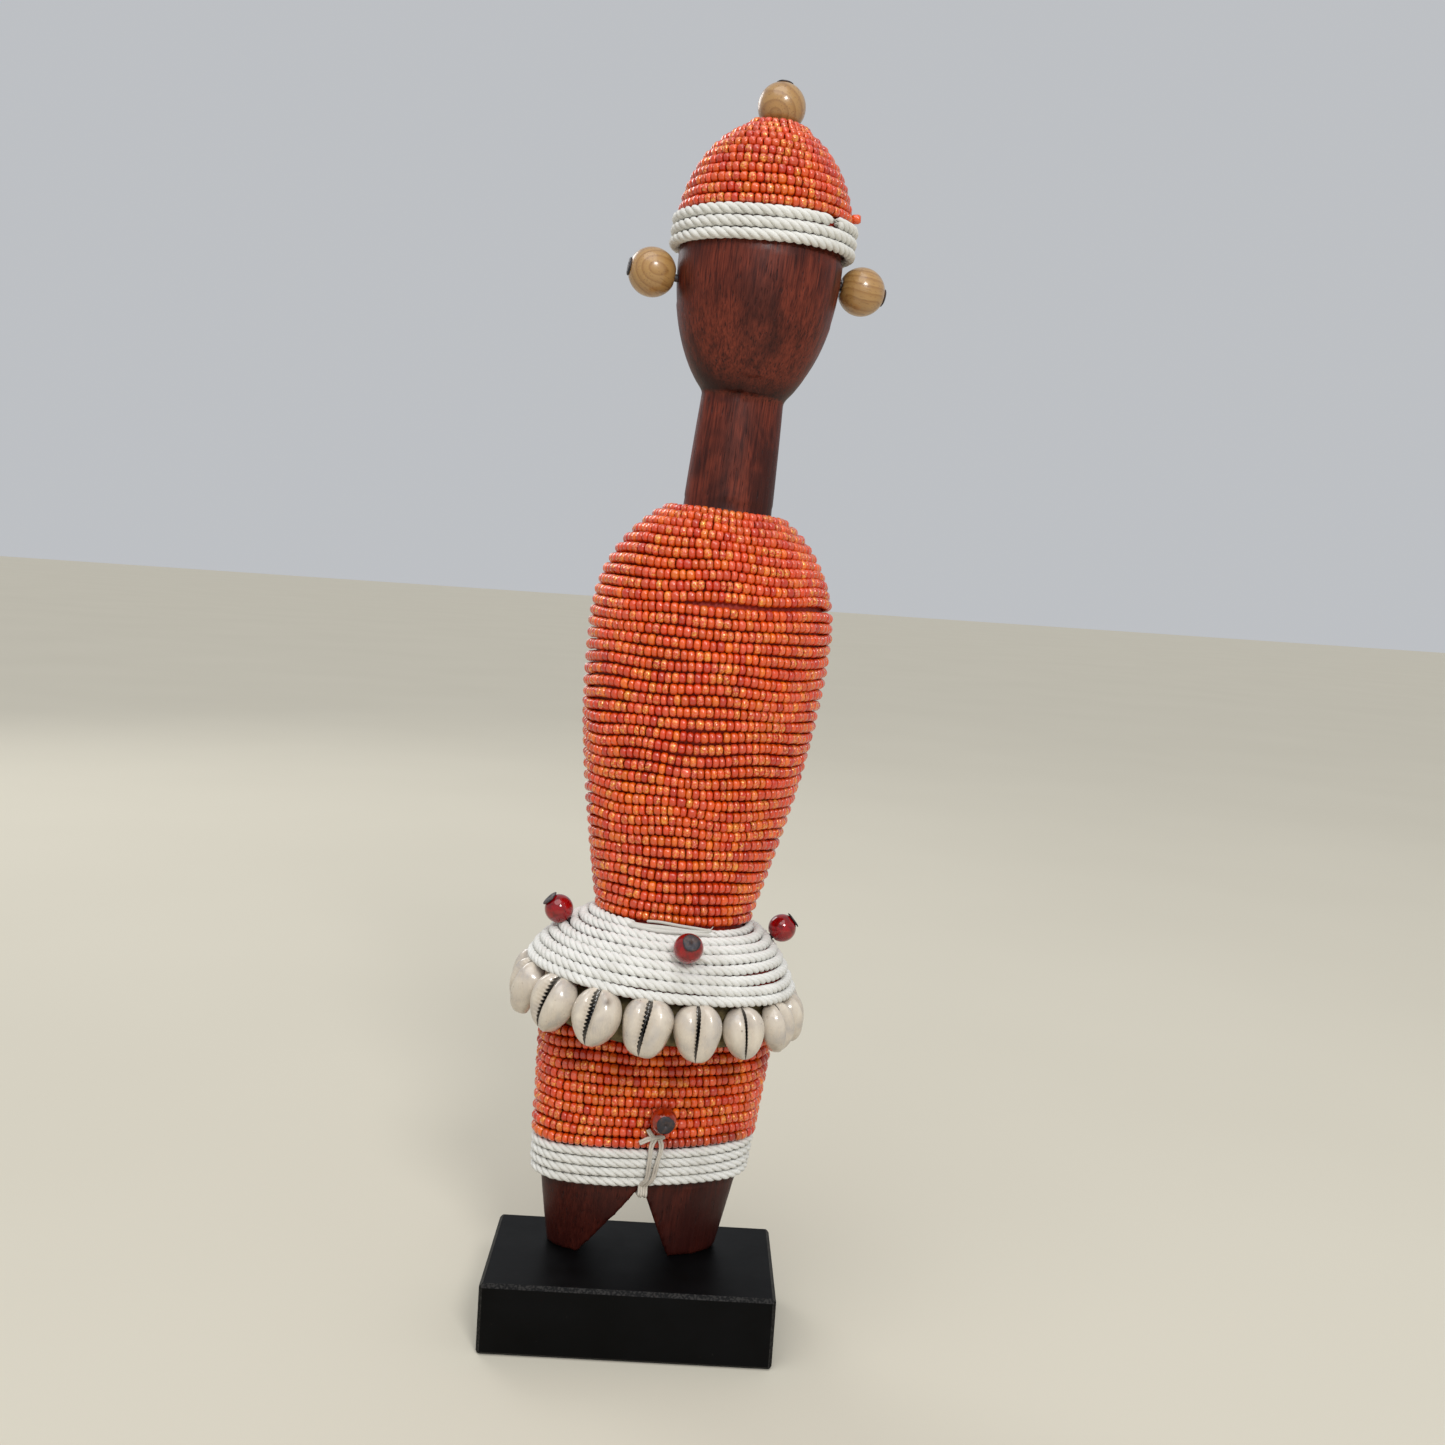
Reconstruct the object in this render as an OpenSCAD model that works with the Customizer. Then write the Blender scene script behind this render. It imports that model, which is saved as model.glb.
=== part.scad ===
// Beaded wooden fertility doll nailed, strung and wound by hand, standing on a black block.
// Origin: centre of the block's underside, +Z up, -Y the side that the doll faces, millimetres.

/* [Base block] */
// Length of the base block, left to right
base_l = 80; // [76:1:100]
// Depth of the base block, front to back
base_d = 44; // [40:1:60]
// Height of the base block
base_h = 20; // [14:1:26]
// Bevel along the block's edges
base_bevel = 1; // [0.5:0.25:2]

/* [Stance] */
// Left-right place of the feet on the block
stand_x = -1.2; // [-4:0.1:4]
// Front-back place of the feet on the block
stand_y = 8.5; // [4:0.5:10]
// Lean of the whole doll towards +X, in degrees
lean = 3.9; // [0:0.1:6]
// Turn of the doll about its own axis, in degrees
turn = 10; // [0:1:20]

/* [Legs and hips] */
// Half width across the outsides of the feet
foot_w = 24.1; // [23:0.1:27]
// Half width of the bare wood where the hem starts
knee_w = 28.7; // [27:0.1:30]
// Half width of the bare wood under the skirt
hip_w = 31.2; // [30.5:0.1:33]
// Depth of legs and hips as a share of their width
hip_flat = 0.42; // [0.38:0.01:0.5]
// Width of the open notch between the feet
notch_w = 24.8; // [20:0.4:26]
// Height of the notch above the feet
notch_h = 20.3; // [14:0.5:21]

/* [Torso, neck and head] */
// Half width over the beads at the waist
waist_w = 22.3; // [20:0.1:24]
// Half width over the beads at the chest
chest_w = 34.05; // [31:0.05:36]
// Depth of the torso as a share of its width
torso_flat = 0.70; // [0.6:0.01:0.8]
// Half width of the neck where it leaves the shoulders
neck_r = 12.7; // [11.5:0.1:14]
// Half width of the neck under the chin
chin_r = 11.3; // [10:0.1:12]
// Half width of the head
head_w = 22.5; // [21:0.1:24]
// Depth of the head as a share of its width
head_flat = 0.82; // [0.75:0.01:0.9]

/* [Seed beads] */
// Diameter of a seed bead, which is the thickness of the beadwork
seed_d = 2.8; // [2.4:0.1:3]
// Distance from one row of the body's beads to the next
seed_row = 3.05; // [3:0.05:3.4]
// Distance from one row of the cap's beads to the next
cap_row = 2.75; // [2.7:0.05:3]

/* [Cotton cord] */
// Thickness of the cord of the skirt and the hem
cord_d = 2.7; // [2.4:0.1:2.8]
// Thickness of the cord around the cap
band_d = 3.05; // [2.6:0.05:3.2]
// Turns of cord on the skirt
skirt_turns = 8; // [7:1:9]
// Turns of cord along the hem
hem_turns = 4; // [3:1:4]
// Turns of cord around the cap
band_turns = 3; // [2:1:3]
// Thickness of the thread tied over the hem
thread_d = 1.3; // [1:0.1:1.4]

/* [Skirt] */
// Half width over the cord at the skirt's rim
rim_w = 37.5; // [36:0.5:39]
// Depth of the skirt as a share of its width
skirt_flat = 0.83; // [0.78:0.01:0.88]
// Half width over the leather strip that holds the shells
strip_w = 33; // [32:0.5:33.5]
// Thickness of the leather strip
strip_t = 1.6; // [1:0.1:2]

/* [Cowrie shells] */
// Number of shells around the skirt
shells = 16; // [12:1:16]
// Length of a shell
shell_l = 14.2; // [13.4:0.1:14.8]
// Width of a shell
shell_w = 12.7; // [11:0.1:12.9]
// Height of the toothed face over the shell's widest line
shell_t = 5.6; // [4.5:0.1:6]
// Outward tilt of the hanging shells, in degrees
shell_tilt = 14; // [12:1:16]
// Turn of the first shell away from straight ahead, in degrees
shell_start = -16.4; // [-22:0.1:22]

/* [Loose beads and nails] */
// Diameter of the wooden bead on the crown
crown_d = 12.9; // [12:0.1:13.2]
// Diameter of a wooden ear bead
ear_d = 13; // [12:0.1:13.4]
// Diameter of a glass bead on the skirt
glass_d = 8; // [7:0.1:8.4]
// Diameter of the bead on the hips
hip_bead_d = 7.2; // [6:0.1:7.6]
// Radial play between a bead's hole and its nail
bead_play = 0.07; // [0.02:0.01:0.1]
// End play between a bead, its nail head and whatever is under it
end_gap = 0.3; // [0.2:0.05:0.4]

/* [Hidden] */
$fn = 64;

// Heights along the doll's own axis, from the soles
hem_s = 22.5;                                   // lower edge of the hem cord
hip_bead_s = hem_s + hem_turns * cord_d + 0.2;  // lower edge of the hip beads
knee_s = 24;                                    // where the legs' outline bends
strip_s = 67;                                   // lower edge of the leather strip
rim_s = 81.2;                                   // lower edge of the skirt's rim
waist_s = 97.9;                                 // first row of torso beads
chest_s = 178;                                  // widest point of the torso
shoulder_rise = 37.3;                           // height of the shoulders' curve
neck_s = 211.5;                                 // last row of torso beads
face_s = 277;                                   // widest point of the head
chin_drop = 40.5;                               // height of the curve below it
band_s = 280.1;                                 // lower edge of the cord around the cap
cap_s = 283;                                    // centre of the cap's curve
cap_w = 24.5;                                   // half width over the cap beads
cap_rise = 32;                                  // height of the cap's curve
cap_hole = 5.6;                                 // half width of the cap's last row
ear_s = 272.7;                                  // middle of the two ear nails
ear_rise = 2.3;                                 // right ear bead above it, left one below it
ear_droop = 4;                                  // tilt of the ear nails towards +X and down, in degrees
crown_gap = 0.65;                               // crown bead over the wood
shell_off = 1.55;                               // shells' middle line in front of the strip
shell_drop = 1.25;                              // shells' tops under the rim's lower edge
hip_bow = 70;                                   // radius of the windings' front and back
sole_cut = 4;                                   // wood below the soles, cut off level
notch_x = -0.9;                                 // top of the notch, left or right of the axis
notch_mid = -1.4;                               // middle of the notch at the soles
notch_top_r = 2;                                // round top of the notch
seam = 0.05;                                    // gap left where a wound sleeve lies on wood
wrap_seam = 0.15;                               // the same gap for the level rows around the hips
eps = 0.01;

// Cord cone of the skirt: its outer line runs from the waist to the rim
cone_top = [waist_w + 0.2, waist_s - 0.2];
cone_end = [rim_w, rim_s];
cone_len = norm(cone_end - cone_top);
cone_dir = (cone_end - cone_top) / cone_len;
cone_out = [-cone_dir[1], cone_dir[0]];

// Point on the swollen cone, a share t of the way from the waist to the rim
function cone_point(t, inset) = cone_top + cone_dir * t * cone_len
    + cone_out * (cone_bulge * sin(180 * t) - inset);

// Loose beads: flat ends, nail sizes and the places where they sit
flat_share = 0.92;                              // half length of a bead as a share of its radius
big_nail = [1.0, 2.4, 0.9, 17];                 // shank radius, head radius, head height, bite
small_nail = [0.8, 2.4, 0.7, 10];
hip_nail_size = [0.9, 2.2, 0.8, 7];
ear_x = head_w + end_gap + 0.15 + flat_share * ear_d / 2;
crown_s = cap_s + cap_rise - seed_d + crown_gap + flat_share * crown_d / 2;
glass_down = 8;                                 // way down the cone to a glass bead
core_share = 0.8;                               // share of the cone with wood behind the cord
cone_bulge = 2.0;                               // swell of the cone half way down
glass_off = cone_bulge * sin(180 * glass_down / cone_len) + end_gap + flat_share * glass_d / 2;
hip_bead_at = [1.5, 43.9];
hip_bead_y = hip_flat * half_hip(hip_bead_at[1]) + seed_d + end_gap + flat_share * hip_bead_d / 2;

// Base screws
screw_x = 18;
screw_r = 1.75;
screw_head_r = 3.5;
screw_l = 33;
screw_sink = 1.2;

function half_hip(s) = s < knee_s ? foot_w + (knee_w - foot_w) * s / knee_s
    : knee_w + (hip_w - knee_w) * (s - knee_s) / (strip_s - knee_s);
function oval(w, rise, s) = w * sqrt(max(0, 1 - pow(s / rise, 2)));
// Torso outline, "inset" below the surface of the beads
function torso_w(s, inset) = s < chest_s
    ? waist_w + (chest_w - waist_w) * sin(90 * (s - waist_s) / (chest_s - waist_s)) - inset
    : oval(chest_w - inset, shoulder_rise - inset, s - chest_s);
function cap_half(s, inset) = oval(cap_w - inset, cap_rise - inset, s - cap_s);
// Row heights at an even distance along the outline
function slope(w0, w1) = w1 - w0;
torso_rows = [for (s = waist_s + seed_d / 2; s < neck_s - 1.2;
    s = s + seed_row / norm([1, slope(torso_w(s, seed_d / 2), torso_w(s + 1, seed_d / 2))])) s];
cap_first = band_s + band_turns * band_d + seed_d / 2;
cap_rows = [for (s = cap_first; cap_half(s, seed_d / 2) > cap_hole;
    s = s + cap_row / norm([1, slope(cap_half(s, seed_d / 2), cap_half(s + 1, seed_d / 2))])) s];
hip_rows = floor((strip_s - hip_w * sin(lean) - hip_bead_s) / seed_row);

// Route of the tied thread: down over the hem, through the notch and up behind
thread_r = thread_d / 2;
thread_out = hip_flat * hip_w + seed_d + thread_r + 0.15;
thread_under = notch_h - notch_top_r + 1;
function thread_route(side) = [
    [0.9 + side * 0.5, -thread_out - 0.4, 38.1], [1 + side * 1.4, -thread_out, 35.2],
    [0.8 + side * 1.2, -thread_out, 30.4], [0.4 + side * 0.9, -thread_out, 24.4],
    [notch_x + side * 0.68, -thread_out + 1.2, 20.4], [notch_x + side * 0.68, -13.2, thread_under],
    [notch_x + side * 0.68, 13.2, thread_under], [notch_x + side * 0.68, thread_out - 1.2, 20.4],
    [notch_x + side * 0.8, thread_out, 23.4], [notch_x + side * 0.8, thread_out, 29],
    [notch_x + side * 0.8, thread_out, 34.4], [notch_x + side * 0.5, thread_out + 0.4, 36.8]
];
thread_tails = [
    [[-3.9, -thread_out, 36.2], [-1.8, -thread_out - 0.5, 37.4], [1.6, -thread_out - 0.6, 38.4]],
    [[-2, -thread_out, 40.1], [-0.7, -thread_out - 0.5, 38.5], [0.7, -thread_out - 0.6, 37.2]]
];

function shell_name(k) = str("cowrie_", k < 10 ? "0" : "", k);
// Angle around the oval strip that keeps the shells an even distance apart
shell_oval = (1 - skirt_flat) / (1 + skirt_flat) * 90 / PI;
function shell_angle(k) = let (t = shell_start + (k - 1) * 360 / shells) t - shell_oval * sin(2 * t);

wood = "#4a1f1a";
bead_wood = "#a98350";
coral = "#d8532e";
cotton = "#e6e3dc";
iron = "#2b2a2a";

// Places its children in the doll's own frame: soles at z = 0, front towards -Y
module on_doll() {
    translate([stand_x, stand_y, base_h]) rotate([0, lean, 0]) rotate([0, 0, turn]) children();
}

// Solid turned about the doll's axis in two halves and flattened front to back
module turned(flat) {
    for (a = [0, 180]) rotate([0, 0, a]) scale([1, flat, 1]) rotate_extrude(angle = 180) children();
}

// Outline around the hips, half width w over a winding of thickness t: bowed front and back
module hip_oval(w, t) {
    in = hip_bow + t - (hip_flat * (w - t) + t);
    intersection() {
        translate([0, in]) circle(hip_bow + t);
        translate([0, -in]) circle(hip_bow + t);
        square([2 * w, 60], center = true);
    }
}

// Hip-shaped ring from height s up, around wood of half width "inner"
module hip_ring(s, h, inner, outer, t) {
    translate([0, 0, s]) level() linear_extrude(h) difference() {
        hip_oval(outer, t);
        hip_oval(inner, wrap_seam);
    }
}

// Undoes the lean, so that a row lies level while the doll leans
module level() {
    rotate([0, 0, -turn]) rotate([0, -lean, 0]) rotate([0, 0, turn]) children();
}

// Level rows wound around the hips: full rounds with shallow grooves between them
module hip_rows_of(rows, start, pitch, thick) {
    overlap = 0.1;
    groove = 0.35;
    for (i = [0 : rows - 1]) {
        s = start + i * pitch;
        inner = half_hip(s + pitch + hip_w * sin(lean)) + wrap_seam;
        outer = half_hip(s + pitch / 2) + thick;
        hip_ring(s, pitch + (i < rows - 1 ? overlap : 0), inner, outer - groove, thick - groove);
        hip_ring(s + groove, pitch - 2 * groove, inner, outer, thick);
    }
}

// Turned rows for a sleeve: round rows on a backing strip that lies on the wood
module rows_2d(places, r) {
    for (p = places) translate(p) circle(r);
}

module base_block() {
    color("#161616") difference() {
        intersection() {
            linear_extrude(base_h) bevelled(base_l, base_d);
            rotate([90, 0, 0]) linear_extrude(base_d, center = true)
                translate([0, base_h / 2]) bevelled(base_l, base_h);
            rotate([90, 0, 90]) linear_extrude(base_l, center = true)
                translate([0, base_h / 2]) bevelled(base_d, base_h);
        }
        for (side = [-1, 1]) at_screw(side) screw_shape(0.1);
    }
}

module bevelled(w, h) {
    c = base_bevel;
    polygon([
        [-w / 2 + c, -h / 2], [w / 2 - c, -h / 2], [w / 2, -h / 2 + c], [w / 2, h / 2 - c],
        [w / 2 - c, h / 2], [-w / 2 + c, h / 2], [-w / 2, h / 2 - c], [-w / 2, -h / 2 + c]
    ]);
}

module at_screw(side) {
    translate([stand_x, stand_y, 0]) rotate([0, 0, turn]) translate([side * screw_x, 0, 0]) children();
}

// Countersunk screw driven up from below, "play" wider all round for its hole
module screw_shape(play) {
    sink = play > 0 ? 0 : screw_sink;
    cone_h = screw_head_r - screw_r;
    rotate_extrude() polygon([
        [0, sink - (play > 0 ? 1 : 0)], [screw_head_r + play, sink - (play > 0 ? 1 : 0)],
        [screw_head_r + play, screw_sink + 0.3], [screw_r + play, screw_sink + 0.3 + cone_h],
        [screw_r + play, screw_sink + screw_l - 3 + play], [0, screw_sink + screw_l + play]
    ]);
}

module base_screw(side) {
    color(iron) at_screw(side) difference() {
        screw_shape(0);
        for (a = [0, 90]) rotate([0, 0, a]) translate([-2, -0.4, screw_sink - 1]) cube([4, 0.8, 2.2]);
    }
}

// Legs and hips: an oval cone that widens at the knees, with the notch cut through it
module legs_and_hips() {
    top = strip_s + 4;
    difference() {
        turned(hip_flat) polygon([
            [0, -sole_cut], [half_hip(-sole_cut), -sole_cut], [knee_w, knee_s], [half_hip(top), top], [0, top]
        ]);
        foot_notch();
    }
}

// Pointed opening between the legs, a little left of the middle, with a round top
module foot_notch() {
    spread = sole_cut * notch_w / 2 / notch_h;
    translate([0, 30, 0]) rotate([90, 0, 0]) linear_extrude(60) {
        translate([notch_x, notch_h - notch_top_r]) circle(notch_top_r);
        polygon([
            [notch_mid - notch_w / 2 - spread, -sole_cut], [notch_mid + notch_w / 2 + spread, -sole_cut],
            [notch_x + notch_top_r, notch_h - notch_top_r], [notch_x - notch_top_r, notch_h - notch_top_r]
        ]);
    }
}

module torso_core() {
    steps = 18;
    start = waist_s - 6;
    top = 209.5;
    turned(torso_flat) polygon(concat(
        [[0, start], [torso_w(waist_s, seed_d), start]],
        [for (i = [0 : steps]) let (s = waist_s + (top - waist_s) * i / steps) [torso_w(s, seed_d), s]],
        [[0, top]]
    ));
}

module skirt_core() {
    steps = 4;
    outline = [for (i = [steps : -1 : 0]) cone_point(core_share * i / steps, cord_d)];
    turned(skirt_flat) polygon(concat(
        [[0, strip_s], [strip_w - strip_t, strip_s], [strip_w - strip_t, rim_s - 0.4]],
        outline, [[0, outline[steps][1]]]
    ));
}

module head_core() {
    steps = 14;
    low = face_s - 35;
    top = cap_s + cap_rise - seed_d - 0.05;
    egg = [for (i = [0 : steps]) low + (band_s - low) * i / steps];
    dome = [for (i = [0 : steps]) band_s + (top - band_s) * sin(90 * i / steps)];
    turned(head_flat) polygon(concat(
        [[0, low]],
        [for (s = egg) [oval(head_w, chin_drop, s - face_s), s]],
        [for (s = dome) [cap_half(max(s, cap_s), seed_d), s]],
        [[0, top]]
    ));
}

module carved_figure() {
    color(wood) difference() {
        on_doll() difference() {
            union() {
                legs_and_hips();
                skirt_core();
                torso_core();
                turned(torso_flat) polygon([[0, 204], [neck_r, 204], [chin_r - 0.2, 247], [0, 247]]);
                head_core();
            }
            at_crown() nail_hole(big_nail, crown_d);
            for (side = [-1, 1]) at_ear(side) nail_hole(big_nail, ear_d);
            for (a = [0, 90, 180, 270]) at_skirt(a) nail_hole(small_nail, glass_d);
            at_hip() nail_hole(hip_nail_size, hip_bead_d);
        }
        translate([-100, -100, base_h - 100]) cube([200, 200, 100]);
        for (side = [-1, 1]) at_screw(side) screw_shape(0.05);
    }
}

module shell_band() {
    color("#6b5c38") on_doll() turned(skirt_flat)
        translate([strip_w - strip_t + seam, strip_s]) square([strip_t - seam, rim_s - strip_s - 2]);
}

module waist_cord() {
    last = skirt_turns - 1;
    places = [for (i = [0 : last]) cone_point((i + 0.5) / skirt_turns, cord_d / 2)];
    backing = [for (i = [last : -1 : 0]) cone_point((i + 0.5) / skirt_turns, cord_d - 0.4)];
    color(cotton) on_doll() difference() {
        turned(skirt_flat) {
            rows_2d(places, cord_d / 2 - 2 * seam);
            polygon(concat(places, backing));
        }
        for (a = [0, 90, 180, 270]) at_skirt(a) nail_hole(small_nail, glass_d);
    }
}

module hem_cord() {
    color(cotton) on_doll() hip_rows_of(hem_turns, hem_s, cord_d, cord_d);
}

module cap_cord() {
    r = band_d / 2;
    inner = cap_w - seed_d + 2 * seam;
    places = [for (i = [0 : band_turns - 1]) [inner + r, band_s + (i + 0.5) * band_d]];
    color(cotton) on_doll() turned(head_flat) {
        rows_2d(places, r - seam);
        translate([inner + 0.35, band_s + r]) square([r - 0.35, (band_turns - 1) * band_d]);
    }
}

module torso_beads() {
    places = [for (s = torso_rows) [torso_w(s, seed_d / 2), s]];
    backing = [for (i = [len(torso_rows) - 1 : -1 : 0]) let (s = torso_rows[i])
        [max(torso_w(s, seed_d - 0.35), neck_r + seam), s]];
    color(coral) on_doll() turned(torso_flat) {
        rows_2d(places, seed_d / 2 - 0.15);
        polygon(concat(places, backing));
    }
}

module hip_beads() {
    color(coral) on_doll() difference() {
        hip_rows_of(hip_rows, hip_bead_s, seed_row, seed_d);
        at_hip() nail_hole(hip_nail_size, hip_bead_d);
    }
}

module cap_beads() {
    places = [for (s = cap_rows) [cap_half(s, seed_d / 2), s]];
    backing = [for (i = [len(cap_rows) - 1 : -1 : 0]) let (s = cap_rows[i])
        [cap_half(s, seed_d - 0.35), s]];
    color(coral) on_doll() turned(head_flat) {
        rows_2d(places, seed_d / 2 - 0.15);
        polygon(concat(places, backing));
    }
}

// Doubled thread knotted under the hip bead and passed through the notch to the back
module tie_thread() {
    color("#b9b4a8") on_doll() {
        for (side = [-1, 1]) swept(thread_route(side), thread_r, [1, 0, 0]);
        for (tail = thread_tails) swept(tail, thread_r, [0, 1, 0]);
    }
}

// Tube of radius r along a list of points; "across" is never parallel to the route
module swept(route, r, across) {
    sides = 8;
    last = len(route) - 1;
    points = [for (i = [0 : last])
        let (ahead = route[min(i + 1, last)] - route[max(i - 1, 0)],
             along = ahead / norm(ahead),
             u = cross(along, across) / norm(cross(along, across)),
             v = cross(along, u))
        for (j = [0 : sides - 1]) route[i] + r * (cos(360 * j / sides) * u + sin(360 * j / sides) * v)];
    walls = [for (i = [0 : last - 1], j = [0 : sides - 1])
        let (k = (j + 1) % sides)
        [i * sides + j, (i + 1) * sides + j, (i + 1) * sides + k, i * sides + k]];
    polyhedron(points, concat(
        walls, [[for (j = [0 : sides - 1]) j]], [[for (j = [sides - 1 : -1 : 0]) last * sides + j]]
    ));
}

// Nailed beads: each frame puts the bead at the origin with its nail head towards +Z
module at_crown() translate([0, 0, crown_s]) children();

module at_ear(side) {
    translate([side * ear_x, 0, ear_s + side * ear_rise]) rotate([0, side * 90 + ear_droop, 0]) children();
}

// On the skirt's cone at angle a from the front, square to the cord there
module at_skirt(a) {
    flat = abs(cos(a)) > 0.5 ? skirt_flat : 1;
    top = [cone_top[0] * flat, cone_top[1]];
    end = [cone_end[0] * flat, cone_end[1]];
    dir = (end - top) / norm(end - top);
    out = [-dir[1], dir[0]];
    p = top + dir * glass_down + out * glass_off;
    rotate([0, 0, a]) translate([0, -p[0], p[1]]) rotate([90 - atan2(out[1], out[0]), 0, 0]) children();
}

module at_hip() {
    translate([hip_bead_at[0], -hip_bead_y, hip_bead_at[1]]) rotate([90, 0, 0]) children();
}

module nailed_bead(d, nail) {
    difference() {
        sphere(d = d);
        for (end = [-1, 1]) translate([0, 0, end * (flat_share * d / 2 + d / 2)])
            cube([d, d, d], center = true);
        cylinder(h = d + 2, r = nail[0] + bead_play, center = true);
    }
}

// Round-headed nail whose head rests just over a bead of diameter d
module nail_shape(nail, d) {
    seat = flat_share * d / 2 + 0.12;
    length = seat + flat_share * d / 2 + end_gap + nail[3];
    translate([0, 0, seat]) {
        cylinder(h = nail[2], r1 = nail[1], r2 = nail[1] - 0.35);
        translate([0, 0, 1.5 * nail[0] - length])
            cylinder(h = length - 1.5 * nail[0] + eps, r = nail[0]);
        translate([0, 0, -length]) cylinder(h = 1.5 * nail[0] + eps, r1 = 0.15, r2 = nail[0]);
    }
}

module nail_hole(nail, d) {
    length = 2 * flat_share * d / 2 + end_gap + nail[3] + 0.4;
    translate([0, 0, flat_share * d / 2 - length]) cylinder(h = length, r = nail[0] + 0.03);
}

// Shell with its cut-open back towards +Y and the toothed slit towards -Y
module cowrie_shape() {
    steps = 12;
    back = 1.75;
    slit_w = 1.1;
    difference() {
        scale([1, shell_t * 2 / shell_w, 1]) rotate_extrude() polygon([
            for (i = [0 : steps]) let (a = 180 * i / steps)
                [shell_w / 2 * pow(sin(a), 0.8) * (1 - 0.12 * cos(a)) * (i == steps ? 0 : 1),
                 -shell_l / 2 * cos(a)]
        ]);
        translate([-shell_w, back, -shell_l]) cube([2 * shell_w, shell_w, 2 * shell_l]);
        translate([-slit_w / 2, -shell_t - 1, -shell_l * 0.36]) cube([slit_w, 2.6, shell_l * 0.72]);
    }
}

module cowrie(k) {
    a = shell_angle(k);
    out = [sin(a), -cos(a) / skirt_flat];
    face = atan2(out[0], -out[1]);
    top = [strip_w * sin(a), -strip_w * skirt_flat * cos(a)] + shell_off * [sin(face), -cos(face)];
    color("#e9e0cb") on_doll() translate([top[0], top[1], rim_s - shell_drop]) rotate([0, 0, face])
        rotate([-shell_tilt, 0, 0]) translate([0, 0, -shell_l / 2]) cowrie_shape();
}

module crown_bead() color(bead_wood) on_doll() at_crown() nailed_bead(crown_d, big_nail);

module crown_nail() color(iron) on_doll() at_crown() nail_shape(big_nail, crown_d);

module ear_bead(side) color(bead_wood) on_doll() at_ear(side) nailed_bead(ear_d, big_nail);

module ear_nail(side) color(iron) on_doll() at_ear(side) nail_shape(big_nail, ear_d);

module hip_bead() color("#a4541c") on_doll() at_hip() nailed_bead(hip_bead_d, hip_nail_size);

module hip_nail() color(iron) on_doll() at_hip() nail_shape(hip_nail_size, hip_bead_d);

module skirt_bead(a) color("#b5202a") on_doll() at_skirt(a) nailed_bead(glass_d, small_nail);

module skirt_nail(a) color(iron) on_doll() at_skirt(a) nail_shape(small_nail, glass_d);

base_block();
base_screw(-1);  // base_screw_left
base_screw(1);  // base_screw_right
carved_figure();
shell_band();
waist_cord();
hem_cord();
cap_cord();
torso_beads();
hip_beads();
cap_beads();
tie_thread();
crown_bead();
ear_bead(-1);  // ear_bead_left
ear_bead(1);  // ear_bead_right
hip_bead();
crown_nail();
ear_nail(-1);  // ear_nail_left
ear_nail(1);  // ear_nail_right
hip_nail();
skirt_bead(0);  // skirt_bead_front
skirt_bead(90);  // skirt_bead_right
skirt_bead(180);  // skirt_bead_back
skirt_bead(270);  // skirt_bead_left
skirt_nail(0);  // skirt_nail_front
skirt_nail(90);  // skirt_nail_right
skirt_nail(180);  // skirt_nail_back
skirt_nail(270);  // skirt_nail_left
for (k = [1 : shells]) cowrie(k);
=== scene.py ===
import math

import bmesh
import bpy
import numpy as np
from mathutils import Matrix, Vector


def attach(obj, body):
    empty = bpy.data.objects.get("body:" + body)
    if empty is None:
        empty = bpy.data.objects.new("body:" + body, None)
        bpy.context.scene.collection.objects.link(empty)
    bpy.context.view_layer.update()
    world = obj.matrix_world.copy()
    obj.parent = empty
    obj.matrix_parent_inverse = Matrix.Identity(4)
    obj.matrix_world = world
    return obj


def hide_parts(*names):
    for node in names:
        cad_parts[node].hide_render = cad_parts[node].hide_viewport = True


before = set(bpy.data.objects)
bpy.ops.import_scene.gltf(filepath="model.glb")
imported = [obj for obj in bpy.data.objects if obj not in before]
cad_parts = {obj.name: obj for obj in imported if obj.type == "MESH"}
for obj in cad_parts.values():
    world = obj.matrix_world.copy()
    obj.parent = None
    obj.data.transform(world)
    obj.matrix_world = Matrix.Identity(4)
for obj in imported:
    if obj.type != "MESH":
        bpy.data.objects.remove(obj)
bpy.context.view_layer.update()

MM = 0.001
UP = (0.0, 0.0, 1.0)
rng = np.random.default_rng(1907)

# Doll frame in millimetres: soles at s = 0, front towards -Y, leaning and turned on the block
LEAN, TURN = math.radians(3.9), math.radians(10)
STAND = np.array([-1.2, 8.5, 20.0])


def rot_x(a):
    return np.array([[1, 0, 0], [0, math.cos(a), -math.sin(a)], [0, math.sin(a), math.cos(a)]])


def rot_y(a):
    return np.array([[math.cos(a), 0, math.sin(a)], [0, 1, 0], [-math.sin(a), 0, math.cos(a)]])


def rot_z(a):
    return np.array([[math.cos(a), -math.sin(a), 0], [math.sin(a), math.cos(a), 0], [0, 0, 1]])


DOLL = rot_y(LEAN) @ rot_z(TURN)


def to_world(points):
    return (np.asarray(points, float) @ DOLL.T + STAND) * MM


def to_doll(points):
    return (np.asarray(points, float) / MM - STAND) @ DOLL


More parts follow.
